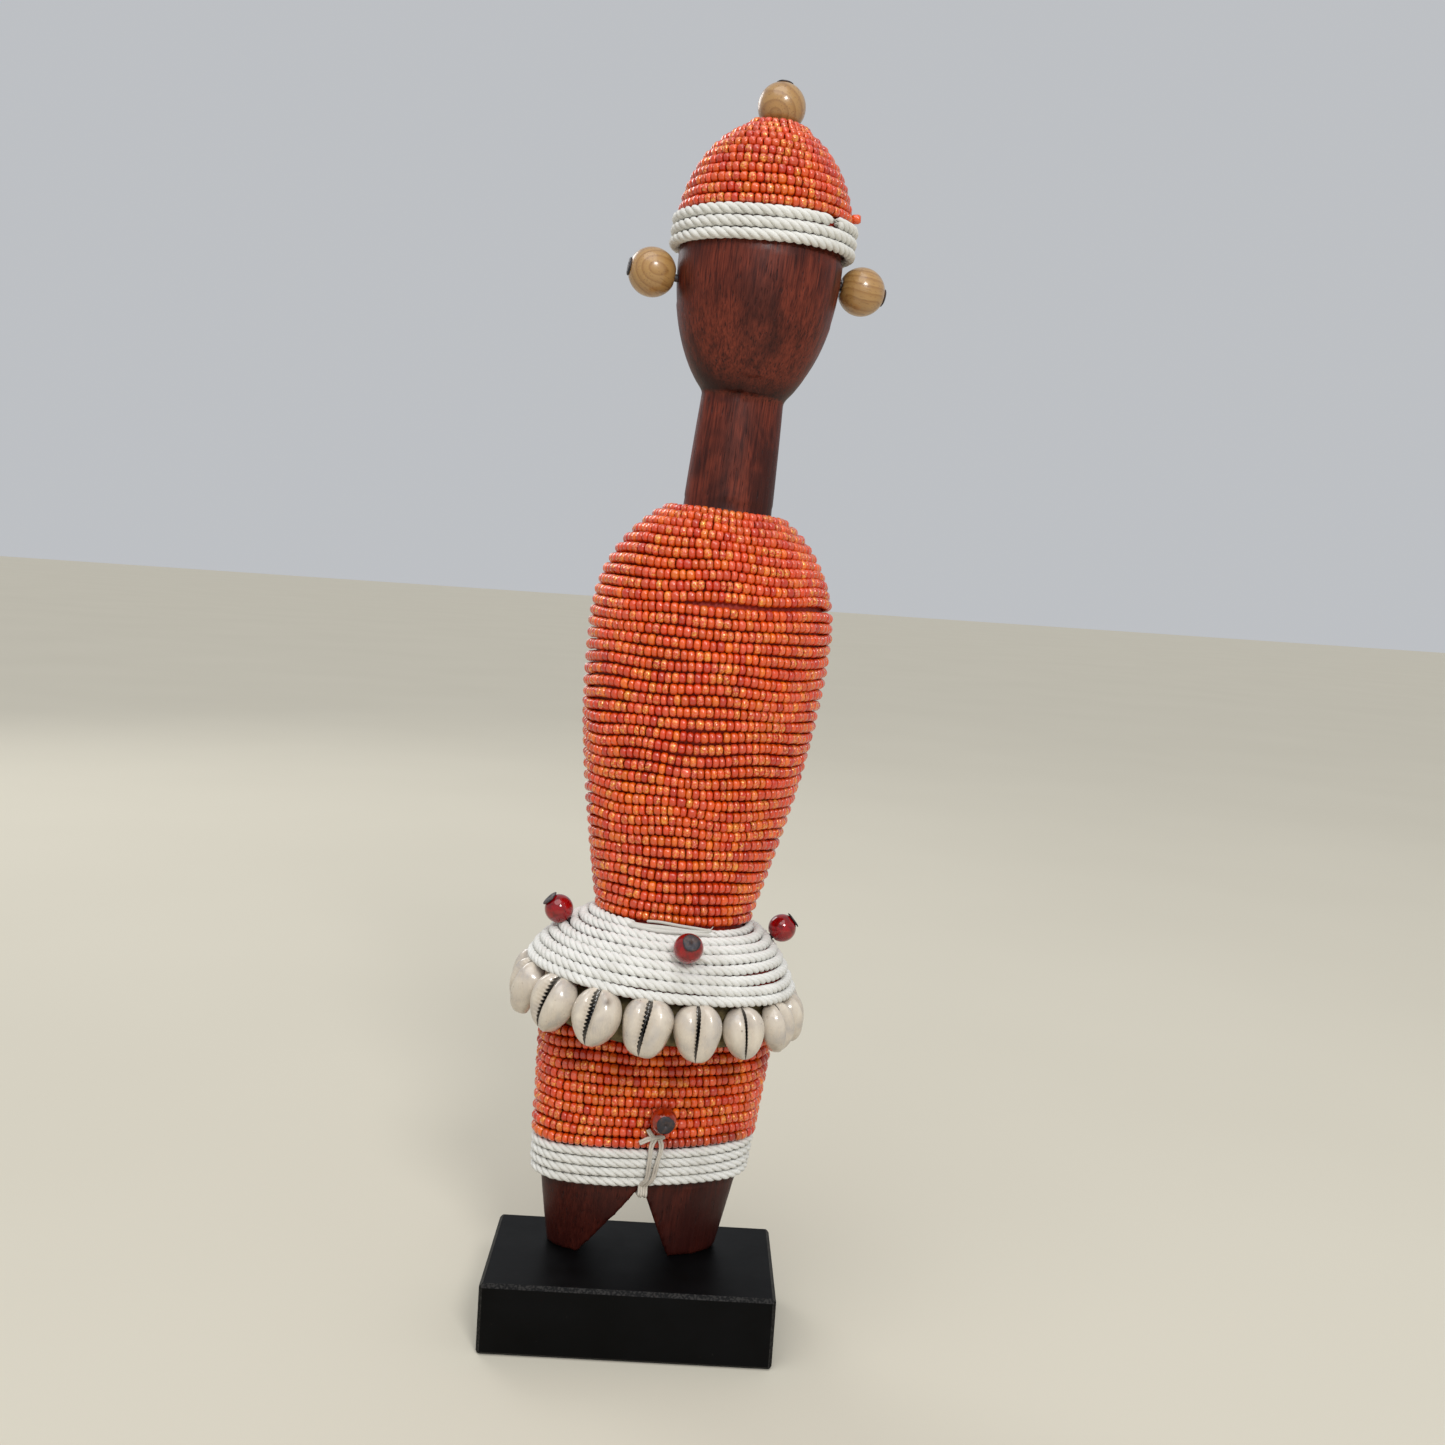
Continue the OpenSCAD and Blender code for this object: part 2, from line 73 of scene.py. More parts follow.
# Beads, cord and outline of the doll, the same as in the CAD
SEED_D, SEED_ROW, CAP_ROW = 2.8, 3.05, 2.75
CORD_D, BAND_D = 2.7, 3.05
KNEE_S, KNEE_W, FOOT_W, HIP_W, STRIP_S = 24.0, 28.7, 24.1, 31.2, 67.0
WAIST_S, WAIST_W, CHEST_S, CHEST_W, SHOULDER = 97.9, 22.3, 178.0, 34.05, 37.3
NECK_S, TORSO_FLAT, HEAD_FLAT, SKIRT_FLAT = 211.5, 0.70, 0.82, 0.83
BAND_S, CAP_S, CAP_W, CAP_RISE, CAP_HOLE = 280.1, 283.0, 24.5, 32.0, 5.6
RIM_W, RIM_S, STRIP_W, STRIP_T = 37.5, 81.2, 33.0, 1.6
HEM_S, HEM_TURNS, HIP_ROWS, HIP_FLAT = 22.5, 4, 10, 0.42
HIP_BOW, CORNER, BOWED = 70.0, 6.0, 0.65         # bow of the hips' front, rounding of its ends, share
CHIN_S = 242.2                                  # where the neck comes out from under the chin
SKIRT_TURNS, BAND_TURNS, SHELLS = 8, 3, 16
SHELL_L, SHELL_W, SHELL_T, SHELL_TILT, SHELL_START = 15.4, 13.3, 5.6, 14.0, -16.4
SHELL_OFF, SHELL_TOP = 1.3, RIM_S - 0.15        # the tops are pressed into the soft rim
CONE_TOP = np.array([WAIST_W + 0.2, WAIST_S - 0.2])
CONE_END = np.array([RIM_W, RIM_S])
CONE_LEN = np.linalg.norm(CONE_END - CONE_TOP)
CONE_DIR = (CONE_END - CONE_TOP) / CONE_LEN
CONE_OUT = np.array([-CONE_DIR[1], CONE_DIR[0]])
CONE_BULGE = 2.0


def half_hip(s):
    s = np.asarray(s, float)
    low = FOOT_W + (KNEE_W - FOOT_W) * s / KNEE_S
    return np.where(s < KNEE_S, low, KNEE_W + (HIP_W - KNEE_W) * (s - KNEE_S) / (STRIP_S - KNEE_S))


def oval(w, rise, s):
    return w * np.sqrt(np.maximum(0.0, 1 - (np.asarray(s, float) / rise) ** 2))


def torso_half(s, inset=0.0):
    s = np.asarray(s, float)
    low = WAIST_W + (CHEST_W - WAIST_W) * np.sin(np.pi / 2 * (s - WAIST_S) / (CHEST_S - WAIST_S)) - inset
    return np.where(s < CHEST_S, low, oval(CHEST_W - inset, SHOULDER - inset, s - CHEST_S))


def cap_half(s, inset=0.0):
    return oval(CAP_W - inset, CAP_RISE - inset, np.asarray(s, float) - CAP_S)


def cone_point(t, inset):
    t = np.asarray(t, float)[..., None]
    return CONE_TOP + CONE_DIR * t * CONE_LEN + CONE_OUT * (CONE_BULGE * np.sin(np.pi * t) - inset)


# ---------- curves and meshes ----------

def unit(rows):
    return rows / np.linalg.norm(rows, axis=1)[:, None]


def distances(line):
    """How far along the line each of its points is."""
    return np.concatenate([[0], np.cumsum(np.linalg.norm(np.diff(line, axis=0), axis=1))])


def between(places, reach, rows):
    """The rows, read off at places along them."""
    return np.stack([np.interp(places, reach, rows[:, k]) for k in range(3)], -1)


def crossways(along, across):
    """Two directions at right angles to the line at each of its points."""
    u = unit(np.cross(along, np.broadcast_to(np.asarray(across, float), along.shape)))
    return u, np.cross(along, u)


def ring_points(wide, deep, phi, s):
    """Points around an oval with the given half axes; phi starts at the front, towards +X."""
    return np.stack([wide * np.sin(phi), -deep * np.cos(phi), s], -1)


def grid_faces(n, m, wrap_n=False, wrap_m=True):
    i = np.arange(n if wrap_n else n - 1)
    j = np.arange(m if wrap_m else m - 1)
    a, b = np.meshgrid(i, j, indexing="ij")
    a2, b2 = (a + 1) % n, (b + 1) % m
    return np.stack([a * m + b, a * m + b2, a2 * m + b2, a2 * m + b], -1).reshape(-1, 4)


def outward(points, faces):
    """The faces, turned over if the closed shape they make is inside out."""
    a, b, c, d = (points[faces[:, k]] for k in range(4))
    volume = (np.cross(b, c) * a).sum() + (np.cross(c, d) * a).sum()
    return faces[:, ::-1] if volume < 0 else faces


def merged(parts):
    """One (points, faces) from several."""
    points, faces, base = [], [], 0
    for p, f in parts:
        points.append(p)
        faces.append(np.asarray(f) + base)
        base += len(p)
    return np.concatenate(points), np.concatenate(faces)


def linked(name, data):
    thing = bpy.data.objects.new(name, data)
    bpy.context.scene.collection.objects.link(thing)
    return thing


def new_piece(name, points, faces, material, nodes, body="doll"):
    """A piece from points in the doll frame and faces of four points."""
    placed = to_world(points)
    faces = np.asarray(faces, np.int32)
    mesh = bpy.data.meshes.new(name)
    mesh.vertices.add(len(placed))
    mesh.vertices.foreach_set("co", placed.astype(np.float32).ravel())
    mesh.loops.add(faces.size)
    mesh.loops.foreach_set("vertex_index", faces.ravel())
    mesh.polygons.add(len(faces))
    mesh.polygons.foreach_set("loop_start", np.arange(0, faces.size, faces.shape[1], dtype=np.int32))
    mesh.polygons.foreach_set("loop_total", np.full(len(faces), faces.shape[1], np.int32))
    mesh.update(calc_edges=True)
    mesh.validate()
    mesh.polygons.foreach_set("use_smooth", np.ones(len(mesh.polygons), bool))
    return dress(linked(name, mesh), material, nodes, body)


def dress(piece, material, nodes, body):
    piece.data.materials.clear()
    piece.data.materials.append(material)
    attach(piece, body)
    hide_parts(*nodes)
    return piece


def paint(piece, name, values):
    """Keeps a number, colour or vector for each point of the piece."""
    values = np.asarray(values, np.float32)
    kind, key = ("FLOAT", "value") if values.ndim == 1 else ("FLOAT_VECTOR", "vector")
    if values.ndim == 2 and name == "tint":
        kind, key = "FLOAT_COLOR", "color"
        values = np.concatenate([values, np.ones((len(values), 1), np.float32)], 1)
    piece.data.attributes.new(name, kind, "POINT").data.foreach_set(key, values.ravel())


def close_ends(points, faces, n, sides):
    """Closes both ends of a tube with a fan of thin four-sided faces around a middle point."""
    mid = np.stack([points[:sides].mean(0), points[-sides:].mean(0)])
    extra = []
    for end, start in ((0, 0), (1, (n - 1) * sides)):
        for j in range(0, sides - sides % 2, 2):
            loop = [start + j, start + j + 1, start + (j + 2) % sides, n * sides + end]
            extra.append(loop[::-1] if end == 0 else loop)
        if sides % 2:  # the last face of an odd ring repeats the middle point
            extra.append([start + sides - 1, start, n * sides + end, n * sides + end])
    return np.concatenate([points, mid]), np.concatenate([faces, np.array(extra)])


def tube(line, u, v, size_u, size_v, sides, closed=False):
    """Skin around a line, with its half axes along u and v at each point."""
    turn = np.linspace(0, 2 * np.pi, sides, endpoint=False)
    points = (line[:, None] + size_u[:, None, None] * np.cos(turn)[None, :, None] * u[:, None]
              + size_v[:, None, None] * np.sin(turn)[None, :, None] * v[:, None]).reshape(-1, 3)
    faces = grid_faces(len(line), sides, wrap_n=closed)
    if not closed:
        points, faces = close_ends(points, faces, len(line), sides)
    return points, outward(points, faces)


def sweep(route, radius, sides=8, across=UP, closed=False):
    """Round tube along points; radius may change from point to point, and open ends are drawn in."""
    route = np.asarray(route, float)
    ahead = np.roll(route, -1, 0) - np.roll(route, 1, 0)
    radius = np.broadcast_to(np.asarray(radius, float), (len(route),)).copy()
    if not closed:
        ahead[0], ahead[-1] = route[1] - route[0], route[-1] - route[-2]
        radius[[0, -1]] *= 0.35
    u, v = crossways(unit(ahead), across)
    return tube(route, u, v, radius, radius, sides, closed)


def lathe(profile, segments, wobble, waves):
    """Turned closed profile of (radius, height), a little out of round."""
    profile = np.asarray(profile, float)
    turn = np.linspace(0, 2 * np.pi, segments, endpoint=False)
    out = 1 + wobble * np.sin(waves * turn + 1.3) + wobble * 0.6 * np.sin((waves + 2) * turn)
    x = profile[:, None, 0] * np.cos(turn) * out
    y = profile[:, None, 0] * np.sin(turn) * out
    points = np.stack([x, y, profile[:, None, 1] + 0 * x], -1).reshape(-1, 3)
    return points, outward(points, grid_faces(len(profile), segments, wrap_n=True))


# ---------- materials ----------

def srgb(r, g, b):
    c = np.array([r, g, b]) / 255
    lin = np.where(c <= 0.04045, c / 12.92, ((c + 0.055) / 1.055) ** 2.4)
    return tuple(float(x) for x in lin) + (1.0,)


class Look:
    """A node material, with short names for the nodes that the finishes here use."""

    def __init__(self, name, **constants):
        self.mat = bpy.data.materials.new(name)
        self.mat.use_nodes = True
        self.nt = self.mat.node_tree
        self.nt.nodes.clear()
        self.out = self.nt.nodes.new("ShaderNodeOutputMaterial")
        self.shader = self.nt.nodes.new("ShaderNodeBsdfPrincipled")
        self.nt.links.new(self.shader.outputs[0], self.out.inputs[0])
        for key, value in constants.items():
            self.set(key.replace("_", " "), value)

    def set(self, socket, value):
        self.put(self.shader.inputs[socket], value)

    def put(self, socket, value):
        if isinstance(value, bpy.types.NodeSocket):
            self.nt.links.new(value, socket)
        else:
            socket.default_value = value

    def add(self, kind, inputs=(), **props):
        node = self.nt.nodes.new("ShaderNode" + kind)
        for key, value in props.items():
            setattr(node, key, value)
        for key, value in dict(inputs).items():
            self.put(node.inputs[key], value)
        return node

    def place(self, scale=(1, 1, 1), attribute=None, turn=(0, 0, 0)):
        """Coordinates in millimetres, from the object or from an attribute already in millimetres."""
        if attribute:
            source = self.add("Attribute", attribute_name=attribute).outputs["Vector"]
            size = scale
        else:
            source = self.add("TexCoord").outputs["Object"]
            size = tuple(s / MM for s in scale)
        return self.add("Mapping", {"Vector": source, "Scale": size, "Rotation": turn}).outputs[0]

    def noise(self, vector, scale, detail=3.0, rough=0.55, warp=0.0):
        return self.add("TexNoise", {"Vector": vector, "Scale": scale, "Detail": detail,
                                     "Roughness": rough, "Distortion": warp}).outputs[0]

    def ramp(self, fac, stops, smooth=False):
        node = self.add("ValToRGB", {0: fac})
        ramp = node.color_ramp
        ramp.interpolation = "EASE" if smooth else "LINEAR"
        while len(ramp.elements) < len(stops):
            ramp.elements.new(0.5)
        for element, (at, colour) in zip(ramp.elements, stops):
            element.position = at
            element.color = colour if hasattr(colour, "__len__") else (colour, colour, colour, 1)
        return node.outputs[0]

    def rise(self, fac, low, high, top=1.0):
        """From nothing at low to top at high."""
        return self.ramp(fac, [(low, 0.0), (high, top)])

    def mix(self, fac, a, b):
        return self.add("Mix", {0: fac, 6: a, 7: b}, data_type="RGBA").outputs[2]

    def math(self, op, a, b):
        return self.add("Math", {0: a, 1: b}, operation=op).outputs[0]

    def times(self, a, b):
        return self.math("MULTIPLY", a, b)

    def stain(self, base, colour, where, share):
        """The colour laid over the base by a share, where the mask says."""
        return self.mix(self.times(where, share), base, colour)

    def near(self, value, nothing, full):
        """1 at full, falling to 0 at nothing."""
        return self.add("MapRange", {"Value": value, "From Min": nothing, "From Max": full}).outputs[0]

    def tint(self, name="tint", kind="Color"):
        return self.add("Attribute", attribute_name=name).outputs[kind]

    def bump(self, height, depth_mm, strength, after=None):
        inputs = {"Height": height, "Distance": depth_mm * MM, "Strength": strength}
        if after is not None:
            inputs["Normal"] = after
        return self.add("Bump", inputs).outputs[0]

    def done(self, base, rough, normal):
        self.set("Base Color", base)
        self.set("Roughness", rough)
        self.set("Normal", normal)
        return self.mat


def figure_wood():
    """Reddish-brown stained wood with long grain, open pores, dark blotches and a thin waxy shine."""
    k = Look("figure_wood", Coat_Weight=0.1, Coat_Roughness=0.28, IOR=1.45, Specular_IOR_Level=0.22)
    streak = k.noise(k.place((0.55, 0.55, 0.028), "doll"), 1.0, 4.0, 0.6, 0.35)
    fibre = k.noise(k.place((2.6, 2.6, 0.11), "doll"), 1.0, 3.0, 0.6)
    pores = k.noise(k.place((2.1, 2.1, 0.21), "doll"), 1.0, 2.0, 0.5, 0.2)
    blotch = k.noise(k.place((0.055, 0.055, 0.04), "doll"), 1.0, 3.0, 0.6, 0.6)
    base = k.ramp(streak, [(0.34, srgb(38, 9, 6)), (0.46, srgb(78, 26, 17)), (0.56, srgb(108, 44, 29)),
                           (0.68, srgb(56, 17, 11))])
    base = k.mix(0.42, base, k.ramp(fibre, [(0.36, srgb(42, 11, 7)), (0.60, srgb(126, 56, 38))]))
    mottled = k.ramp(blotch, [(0.40, 0.0), (0.60, 1.0)], True)
    base = k.stain(base, srgb(44, 12, 8), mottled, 0.62)
    s = k.add("SeparateXYZ", {0: k.tint("doll", "Vector")}).outputs[2]
    base = k.stain(base, srgb(42, 10, 8), k.near(s, 40.0, 15.0), 0.72)                   # darker legs
    base = k.stain(base, srgb(44, 14, 10), k.times(k.near(s, 262.0, 240.0), mottled), 0.5)
    # painted shadow: a dark band where the neck comes out from under the chin
    painted_chin_shadow = k.times(k.near(s, CHIN_S + 5.5, CHIN_S), k.near(s, CHIN_S - 0.7, CHIN_S))
    base = k.stain(base, srgb(26, 6, 4), painted_chin_shadow, 0.8)
    hole = k.ramp(pores, [(0.30, 1.0), (0.37, 0.0)])
    base = k.stain(base, srgb(34, 10, 8), hole, 0.75)
    height = k.math("SUBTRACT", k.times(fibre, 0.5), hole)
    return k.done(k.mix(k.tint("covered", "Fac"), base, srgb(160, 40, 16)),
                  k.ramp(fibre, [(0.3, 0.36), (0.7, 0.52)]),
                  k.bump(height, 0.16, 0.7, k.bump(blotch, 0.9, 0.35)))


def black_wood():
    """Black satin paint on wood: faint brush marks, dust, rubbed and chipped edges."""
    k = Look("black_wood", IOR=1.45, Specular_IOR_Level=0.1)
    brushed = k.noise(k.place((0.05, 0.9, 0.9)), 1.0, 3.0, 0.6)
    cloud = k.noise(k.place((0.05, 0.05, 0.05)), 1.0, 4.0, 0.62)
    dust = k.noise(k.place(), 1.7, 2.0, 0.5)
    base = k.mix(k.rise(cloud, 0.35, 0.7), srgb(3, 3, 3), srgb(8, 8, 9))
    speck = k.rise(k.noise(k.place(), 0.9, 2.0, 0.5), 0.74, 0.78)
    base = k.stain(base, srgb(70, 66, 60), speck, 0.2)
    facing = k.add("SeparateXYZ", {0: k.add("NewGeometry").outputs["True Normal"]}).outputs
    across, deep, up = (k.times(side, side) for side in facing)
    flat = k.math("MAXIMUM", k.math("MAXIMUM", across, deep), up)
    edge = k.ramp(flat, [(0.75, 1.0), (0.9, 0.0)])          # the bevels are neither level nor upright
    worn = k.times(edge, k.rise(dust, 0.45, 0.6))
    return k.done(k.stain(base, srgb(60, 58, 56), worn, 0.5),
                  k.ramp(cloud, [(0.3, 0.38), (0.75, 0.55)]), k.bump(brushed, 0.012, 0.4))


def cotton(name, clean, soiled_and_shaded, soil):
    """Soft twisted cotton with loose fibres, a little dirty, with painted shade where it sinks between the
    strands.
    """
    k = Look(name, Sheen_Weight=0.25, Sheen_Roughness=0.6, Specular_IOR_Level=0.2)
    fibre = k.noise(k.place(), 5.0, 3.0, 0.65)
    lint = k.noise(k.place(), 1.3, 2.0, 0.5)
    dirt = k.noise(k.place(), 0.075, 3.0, 0.6)
    base = k.stain(clean, soiled_and_shaded, k.rise(dirt, 0.42, 0.72), soil)
    base = k.mix(k.rise(fibre, 0.3, 0.62), k.mix(0.16, base, soiled_and_shaded), base)
    # painted shade: the darker colour laid where the points sink between the strands
    return k.done(k.stain(base, soiled_and_shaded, k.tint("deep", "Fac"), 0.55), 0.88,
                  k.bump(k.math("ADD", fibre, k.times(lint, 0.7)), 0.12, 0.8))


def seed_glass():
    """Glass seed beads in oranges and corals; some have a golden or pink lustre, drawn as painted gold and
    pink glints; the bores get painted shade.
    """
    k = Look("seed_glass", IOR=1.52, Coat_Weight=0.8, Coat_Roughness=0.04)
    speck = k.noise(k.place(), 1.9, 2.0, 0.6)
    cloud = k.noise(k.place(), 0.7, 2.0, 0.5)
    base = k.mix(k.rise(cloud, 0.35, 0.7, 0.35), k.tint(), srgb(216, 58, 8))
    # painted highlights: gold and pink glints stand for the lustre's reflections on beads that have lustre
    painted_glint = k.times(k.tint("lustre", "Fac"), k.rise(speck, 0.49, 0.55))
    shine = k.mix(k.rise(cloud, 0.5, 0.56), srgb(255, 190, 80), srgb(250, 150, 120))
    base = k.stain(base, shine, painted_glint, 0.72)
    k.set("Metallic", k.times(painted_glint, 0.5))
    # painted shade: dark red inside the bores
    return k.done(k.stain(base, srgb(120, 16, 4), k.tint("deep", "Fac"), 0.85),
                  k.ramp(speck, [(0.3, 0.16), (0.7, 0.34)]), k.bump(speck, 0.05, 0.35))


def varnished_wood():
    """Pale turned wood under clear varnish: growth rings, fine pores, an amber tone."""
    k = Look("varnished_wood", Coat_Weight=0.55, Coat_Roughness=0.12, IOR=1.5)
    spot = k.place((1, 1, 1), "grain")
    bend = k.noise(spot, 0.16, 2.0, 0.5)
    rings = k.add("TexWave", {"Vector": spot, "Scale": 0.17, "Distortion": 3.2, "Detail": 2.0,
                              "Detail Scale": 0.3}, wave_type="RINGS", rings_direction="Z",
                  wave_profile="SAW").outputs[1]
    pores = k.noise(k.place((2.4, 2.4, 0.35), "grain"), 1.0, 2.0, 0.5)
    base = k.ramp(rings, [(0.0, srgb(178, 138, 84)), (0.55, srgb(170, 129, 76)), (0.86, srgb(150, 108, 60)),
                          (1.0, srgb(174, 134, 80))])
    base = k.stain(base, srgb(142, 108, 62), bend, 0.35)
    hole = k.ramp(pores, [(0.33, 1.0), (0.42, 0.0)])
    return k.done(k.stain(base, srgb(112, 74, 38), hole, 0.45),
                  k.ramp(pores, [(0.3, 0.42), (0.7, 0.3)]),
                  k.bump(k.math("SUBTRACT", bend, hole), 0.05, 0.5))


def clear_glass(name, body, dark, through):
    """Coloured glass with a swirl and tiny bubbles, a little worn."""
    k = Look(name, IOR=1.5, Coat_Weight=0.4, Coat_Roughness=0.04, Transmission_Weight=through)
    swirl = k.noise(k.place(), 0.42, 2.0, 0.5, 1.2)
    bubble = k.noise(k.place(), 3.1, 1.0, 0.4)
    return k.done(k.mix(k.rise(swirl, 0.35, 0.68), body, dark),
                  k.ramp(bubble, [(0.35, 0.04), (0.7, 0.1)]),
                  k.bump(k.math("ADD", swirl, k.times(bubble, 0.1)), 0.03, 0.4))


def nail_iron():
    """Dull dark iron with hammer marks and thin brown rust."""
    k = Look("nail_iron", IOR=1.6)
    pit = k.noise(k.place(), 1.5, 3.0, 0.6)
    rust = k.noise(k.place(), 0.55, 4.0, 0.65)
    k.set("Metallic", k.ramp(rust, [(0.44, 0.75), (0.64, 0.15)]))
    return k.done(k.mix(k.rise(rust, 0.46, 0.66), srgb(62, 60, 64), srgb(72, 48, 38)),
                  k.ramp(pit, [(0.3, 0.42), (0.7, 0.68)]), k.bump(pit, 0.12, 0.6))


def screw_steel():
    """Zinc-plated screw steel with fine turning marks."""
    k = Look("screw_steel", IOR=2.2, Metallic=0.95)
    mark = k.noise(k.place((3, 3, 9)), 1.0, 2.0, 0.5)
    dull = k.noise(k.place(), 0.4, 3.0, 0.6)
    return k.done(k.mix(dull, srgb(168, 168, 164), srgb(126, 122, 112)),
                  k.ramp(mark, [(0.3, 0.3), (0.7, 0.5)]), k.bump(mark, 0.03, 0.5))


def cowrie_shell():
    """Porcelain-like shell: cream with a grey-pink cast, brown specks, and a very dark painted shade deep in
    the slit.
    """
    k = Look("cowrie_shell", IOR=1.55, Coat_Weight=0.5, Coat_Roughness=0.09)
    cloud = k.noise(k.place(), 0.16, 3.0, 0.55, 0.4)
    line = k.noise(k.place((1.1, 1.1, 0.25)), 1.0, 3.0, 0.6)
    speck = k.noise(k.place(), 0.95, 2.0, 0.6)
    base = k.ramp(cloud, [(0.30, srgb(214, 203, 186)), (0.5, srgb(198, 187, 172)),
                          (0.68, srgb(176, 168, 160))])
    base = k.mix(k.rise(line, 0.4, 0.75, 0.35), base, srgb(190, 172, 150))
    base = k.stain(base, srgb(96, 70, 44), k.rise(speck, 0.69, 0.74), 0.55)
    base = k.stain(base, srgb(78, 58, 38), k.tint("stain", "Fac"), 0.8)
    # painted shade: the slit's inside is drawn very dark
    return k.done(k.mix(k.tint("slit", "Fac"), base, srgb(9, 7, 6)),
                  k.ramp(line, [(0.3, 0.18), (0.75, 0.34)]), k.bump(line, 0.06, 0.35))


def strip_leather():
    """Olive-brown hide with a pebbled grain, creases and dark rubbed places."""
    k = Look("strip_leather", Specular_IOR_Level=0.35)
    pebble = k.add("TexVoronoi", {"Vector": k.place(), "Scale": 1.6}).outputs["Distance"]
    crease = k.noise(k.place((0.5, 0.5, 1.4)), 0.5, 4.0, 0.6)
    base = k.ramp(crease, [(0.3, srgb(66, 56, 34)), (0.55, srgb(112, 98, 62)), (0.75, srgb(132, 118, 80))])
    return k.done(k.stain(base, srgb(60, 50, 30), pebble, 0.5), k.ramp(crease, [(0.3, 0.62), (0.7, 0.82)]),
                  k.bump(pebble, 0.1, 0.6, k.bump(crease, 0.4, 0.6)))


WOOD, BLACK, STEEL = figure_wood(), black_wood(), screw_steel()
COTTON = cotton("white_cotton", srgb(228, 227, 222), srgb(160, 154, 140), 0.35)
THREAD = cotton("grey_thread", srgb(203, 195, 182), srgb(128, 116, 102), 0.8)
SEED, LEATHER, SHELL, IRON = seed_glass(), strip_leather(), cowrie_shell(), nail_iron()
TURNED = varnished_wood()
AMBER = clear_glass("amber_glass", srgb(178, 48, 8), srgb(120, 26, 4), 0.15)
RED = clear_glass("red_glass", srgb(152, 0, 8), srgb(104, 0, 5), 0.0)


# ---------- wound rows ----------

PHI = np.linspace(0, 2 * np.pi, 1440, endpoint=False)  # from the front, towards +X
LEVEL = math.tan(LEAN)


def level_rise(x, y):
    """How much a world-level line rises along the doll's axis at x, y."""
    return LEVEL * (x * math.cos(TURN) - y * math.sin(TURN))


def make_waver(seed, size):
    """Smooth unevenness of hand-strung rows as a function of place around and height."""
    r = np.random.default_rng(seed)
    modes = [(int(r.integers(1, 7)), r.uniform(-0.22, 0.22), r.uniform(0, 6.28), r.uniform(0.4, 1))
             for _ in range(9)]
    total = math.sqrt(sum(m[3] ** 2 for m in modes) / 2)

    def waver(phi, s):
        return size / total * sum(a * np.sin(n * phi + w * s + p) for n, w, p, a in modes)
    return waver


def oval_row(wide, deep, s0, tilt, waver=None):
    """Closed wound row around an oval body; wide and deep give its half axes at a height."""
    x, y = wide(s0) * np.sin(PHI), -deep(s0) * np.cos(PHI)
    s = s0 + tilt * level_rise(x, y)
    if waver:
        s = s + waver(PHI, s0)
    return ring_points(wide(s), deep(s), PHI, s)


def hip_row(s0, out, waver):
    """Closed level row around the oval hips, its centre line "out" from the wood."""
    path = oval_row(lambda s: half_hip(s) + out, lambda s: HIP_FLAT * half_hip(s) + out, s0, 1.0, waver)
    w, d = half_hip(path[:, 2]) + out, HIP_FLAT * half_hip(path[:, 2]) + out
    x, y = w * np.sin(PHI), -d * np.cos(PHI)
    full = d - (HIP_BOW + out) + np.sqrt((HIP_BOW + out) ** 2 - x ** 2)
    corner = np.sqrt(np.clip(1 - np.clip((np.abs(x) - w + CORNER) / CORNER, 0, 1) ** 2, 0, 1))
    bowed = np.sign(y) * full * corner
    return np.column_stack([x, (1 - BOWED) * y + BOWED * bowed, path[:, 2]])


def along_row(path, places):
    """Points and directions at the given distances along a closed row."""
    reach = distances(np.concatenate([path, path[:1]]))
    ahead = unit(np.roll(path, -2, 0) - np.roll(path, 2, 0))
    at, way = (between(places % reach[-1], reach, np.concatenate([rows, rows[:1]]))
               for rows in (path, ahead))
    return at, unit(way)


def row_length(path):
    return np.linalg.norm(np.roll(path, -1, 0) - path, axis=1).sum()


BEAD_SIDES = 12
BEAD_PROFILE = np.array([(0.42, -0.80), (0.98, -0.97), (1.36, -0.50), (1.36, 0.50),
                         (0.98, 0.97), (0.42, 0.80)])
BEAD_THICK = 2.98                               # rows press on each other a little
BEAD_LONG = 1.94                                # along the string
BEAD_COLOURS = [srgb(226, 84, 6), srgb(219, 66, 8), srgb(224, 80, 38), srgb(198, 46, 6),
                srgb(236, 110, 14)]
BEAD_SHARES = [0.36, 0.24, 0.16, 0.14, 0.10]


def bead_template():
    turn = np.linspace(0, 2 * np.pi, BEAD_SIDES, endpoint=False)
    r, a = BEAD_PROFILE[:, 0, None] / 1.4, BEAD_PROFILE[:, 1, None] / 0.97
    points = np.stack([a + 0 * turn, r * np.cos(turn), r * np.sin(turn)], -1).reshape(-1, 3)
    return points, outward(points, grid_faces(len(BEAD_PROFILE), BEAD_SIDES, wrap_n=True))


BEAD_POINTS, BEAD_FACES = bead_template()


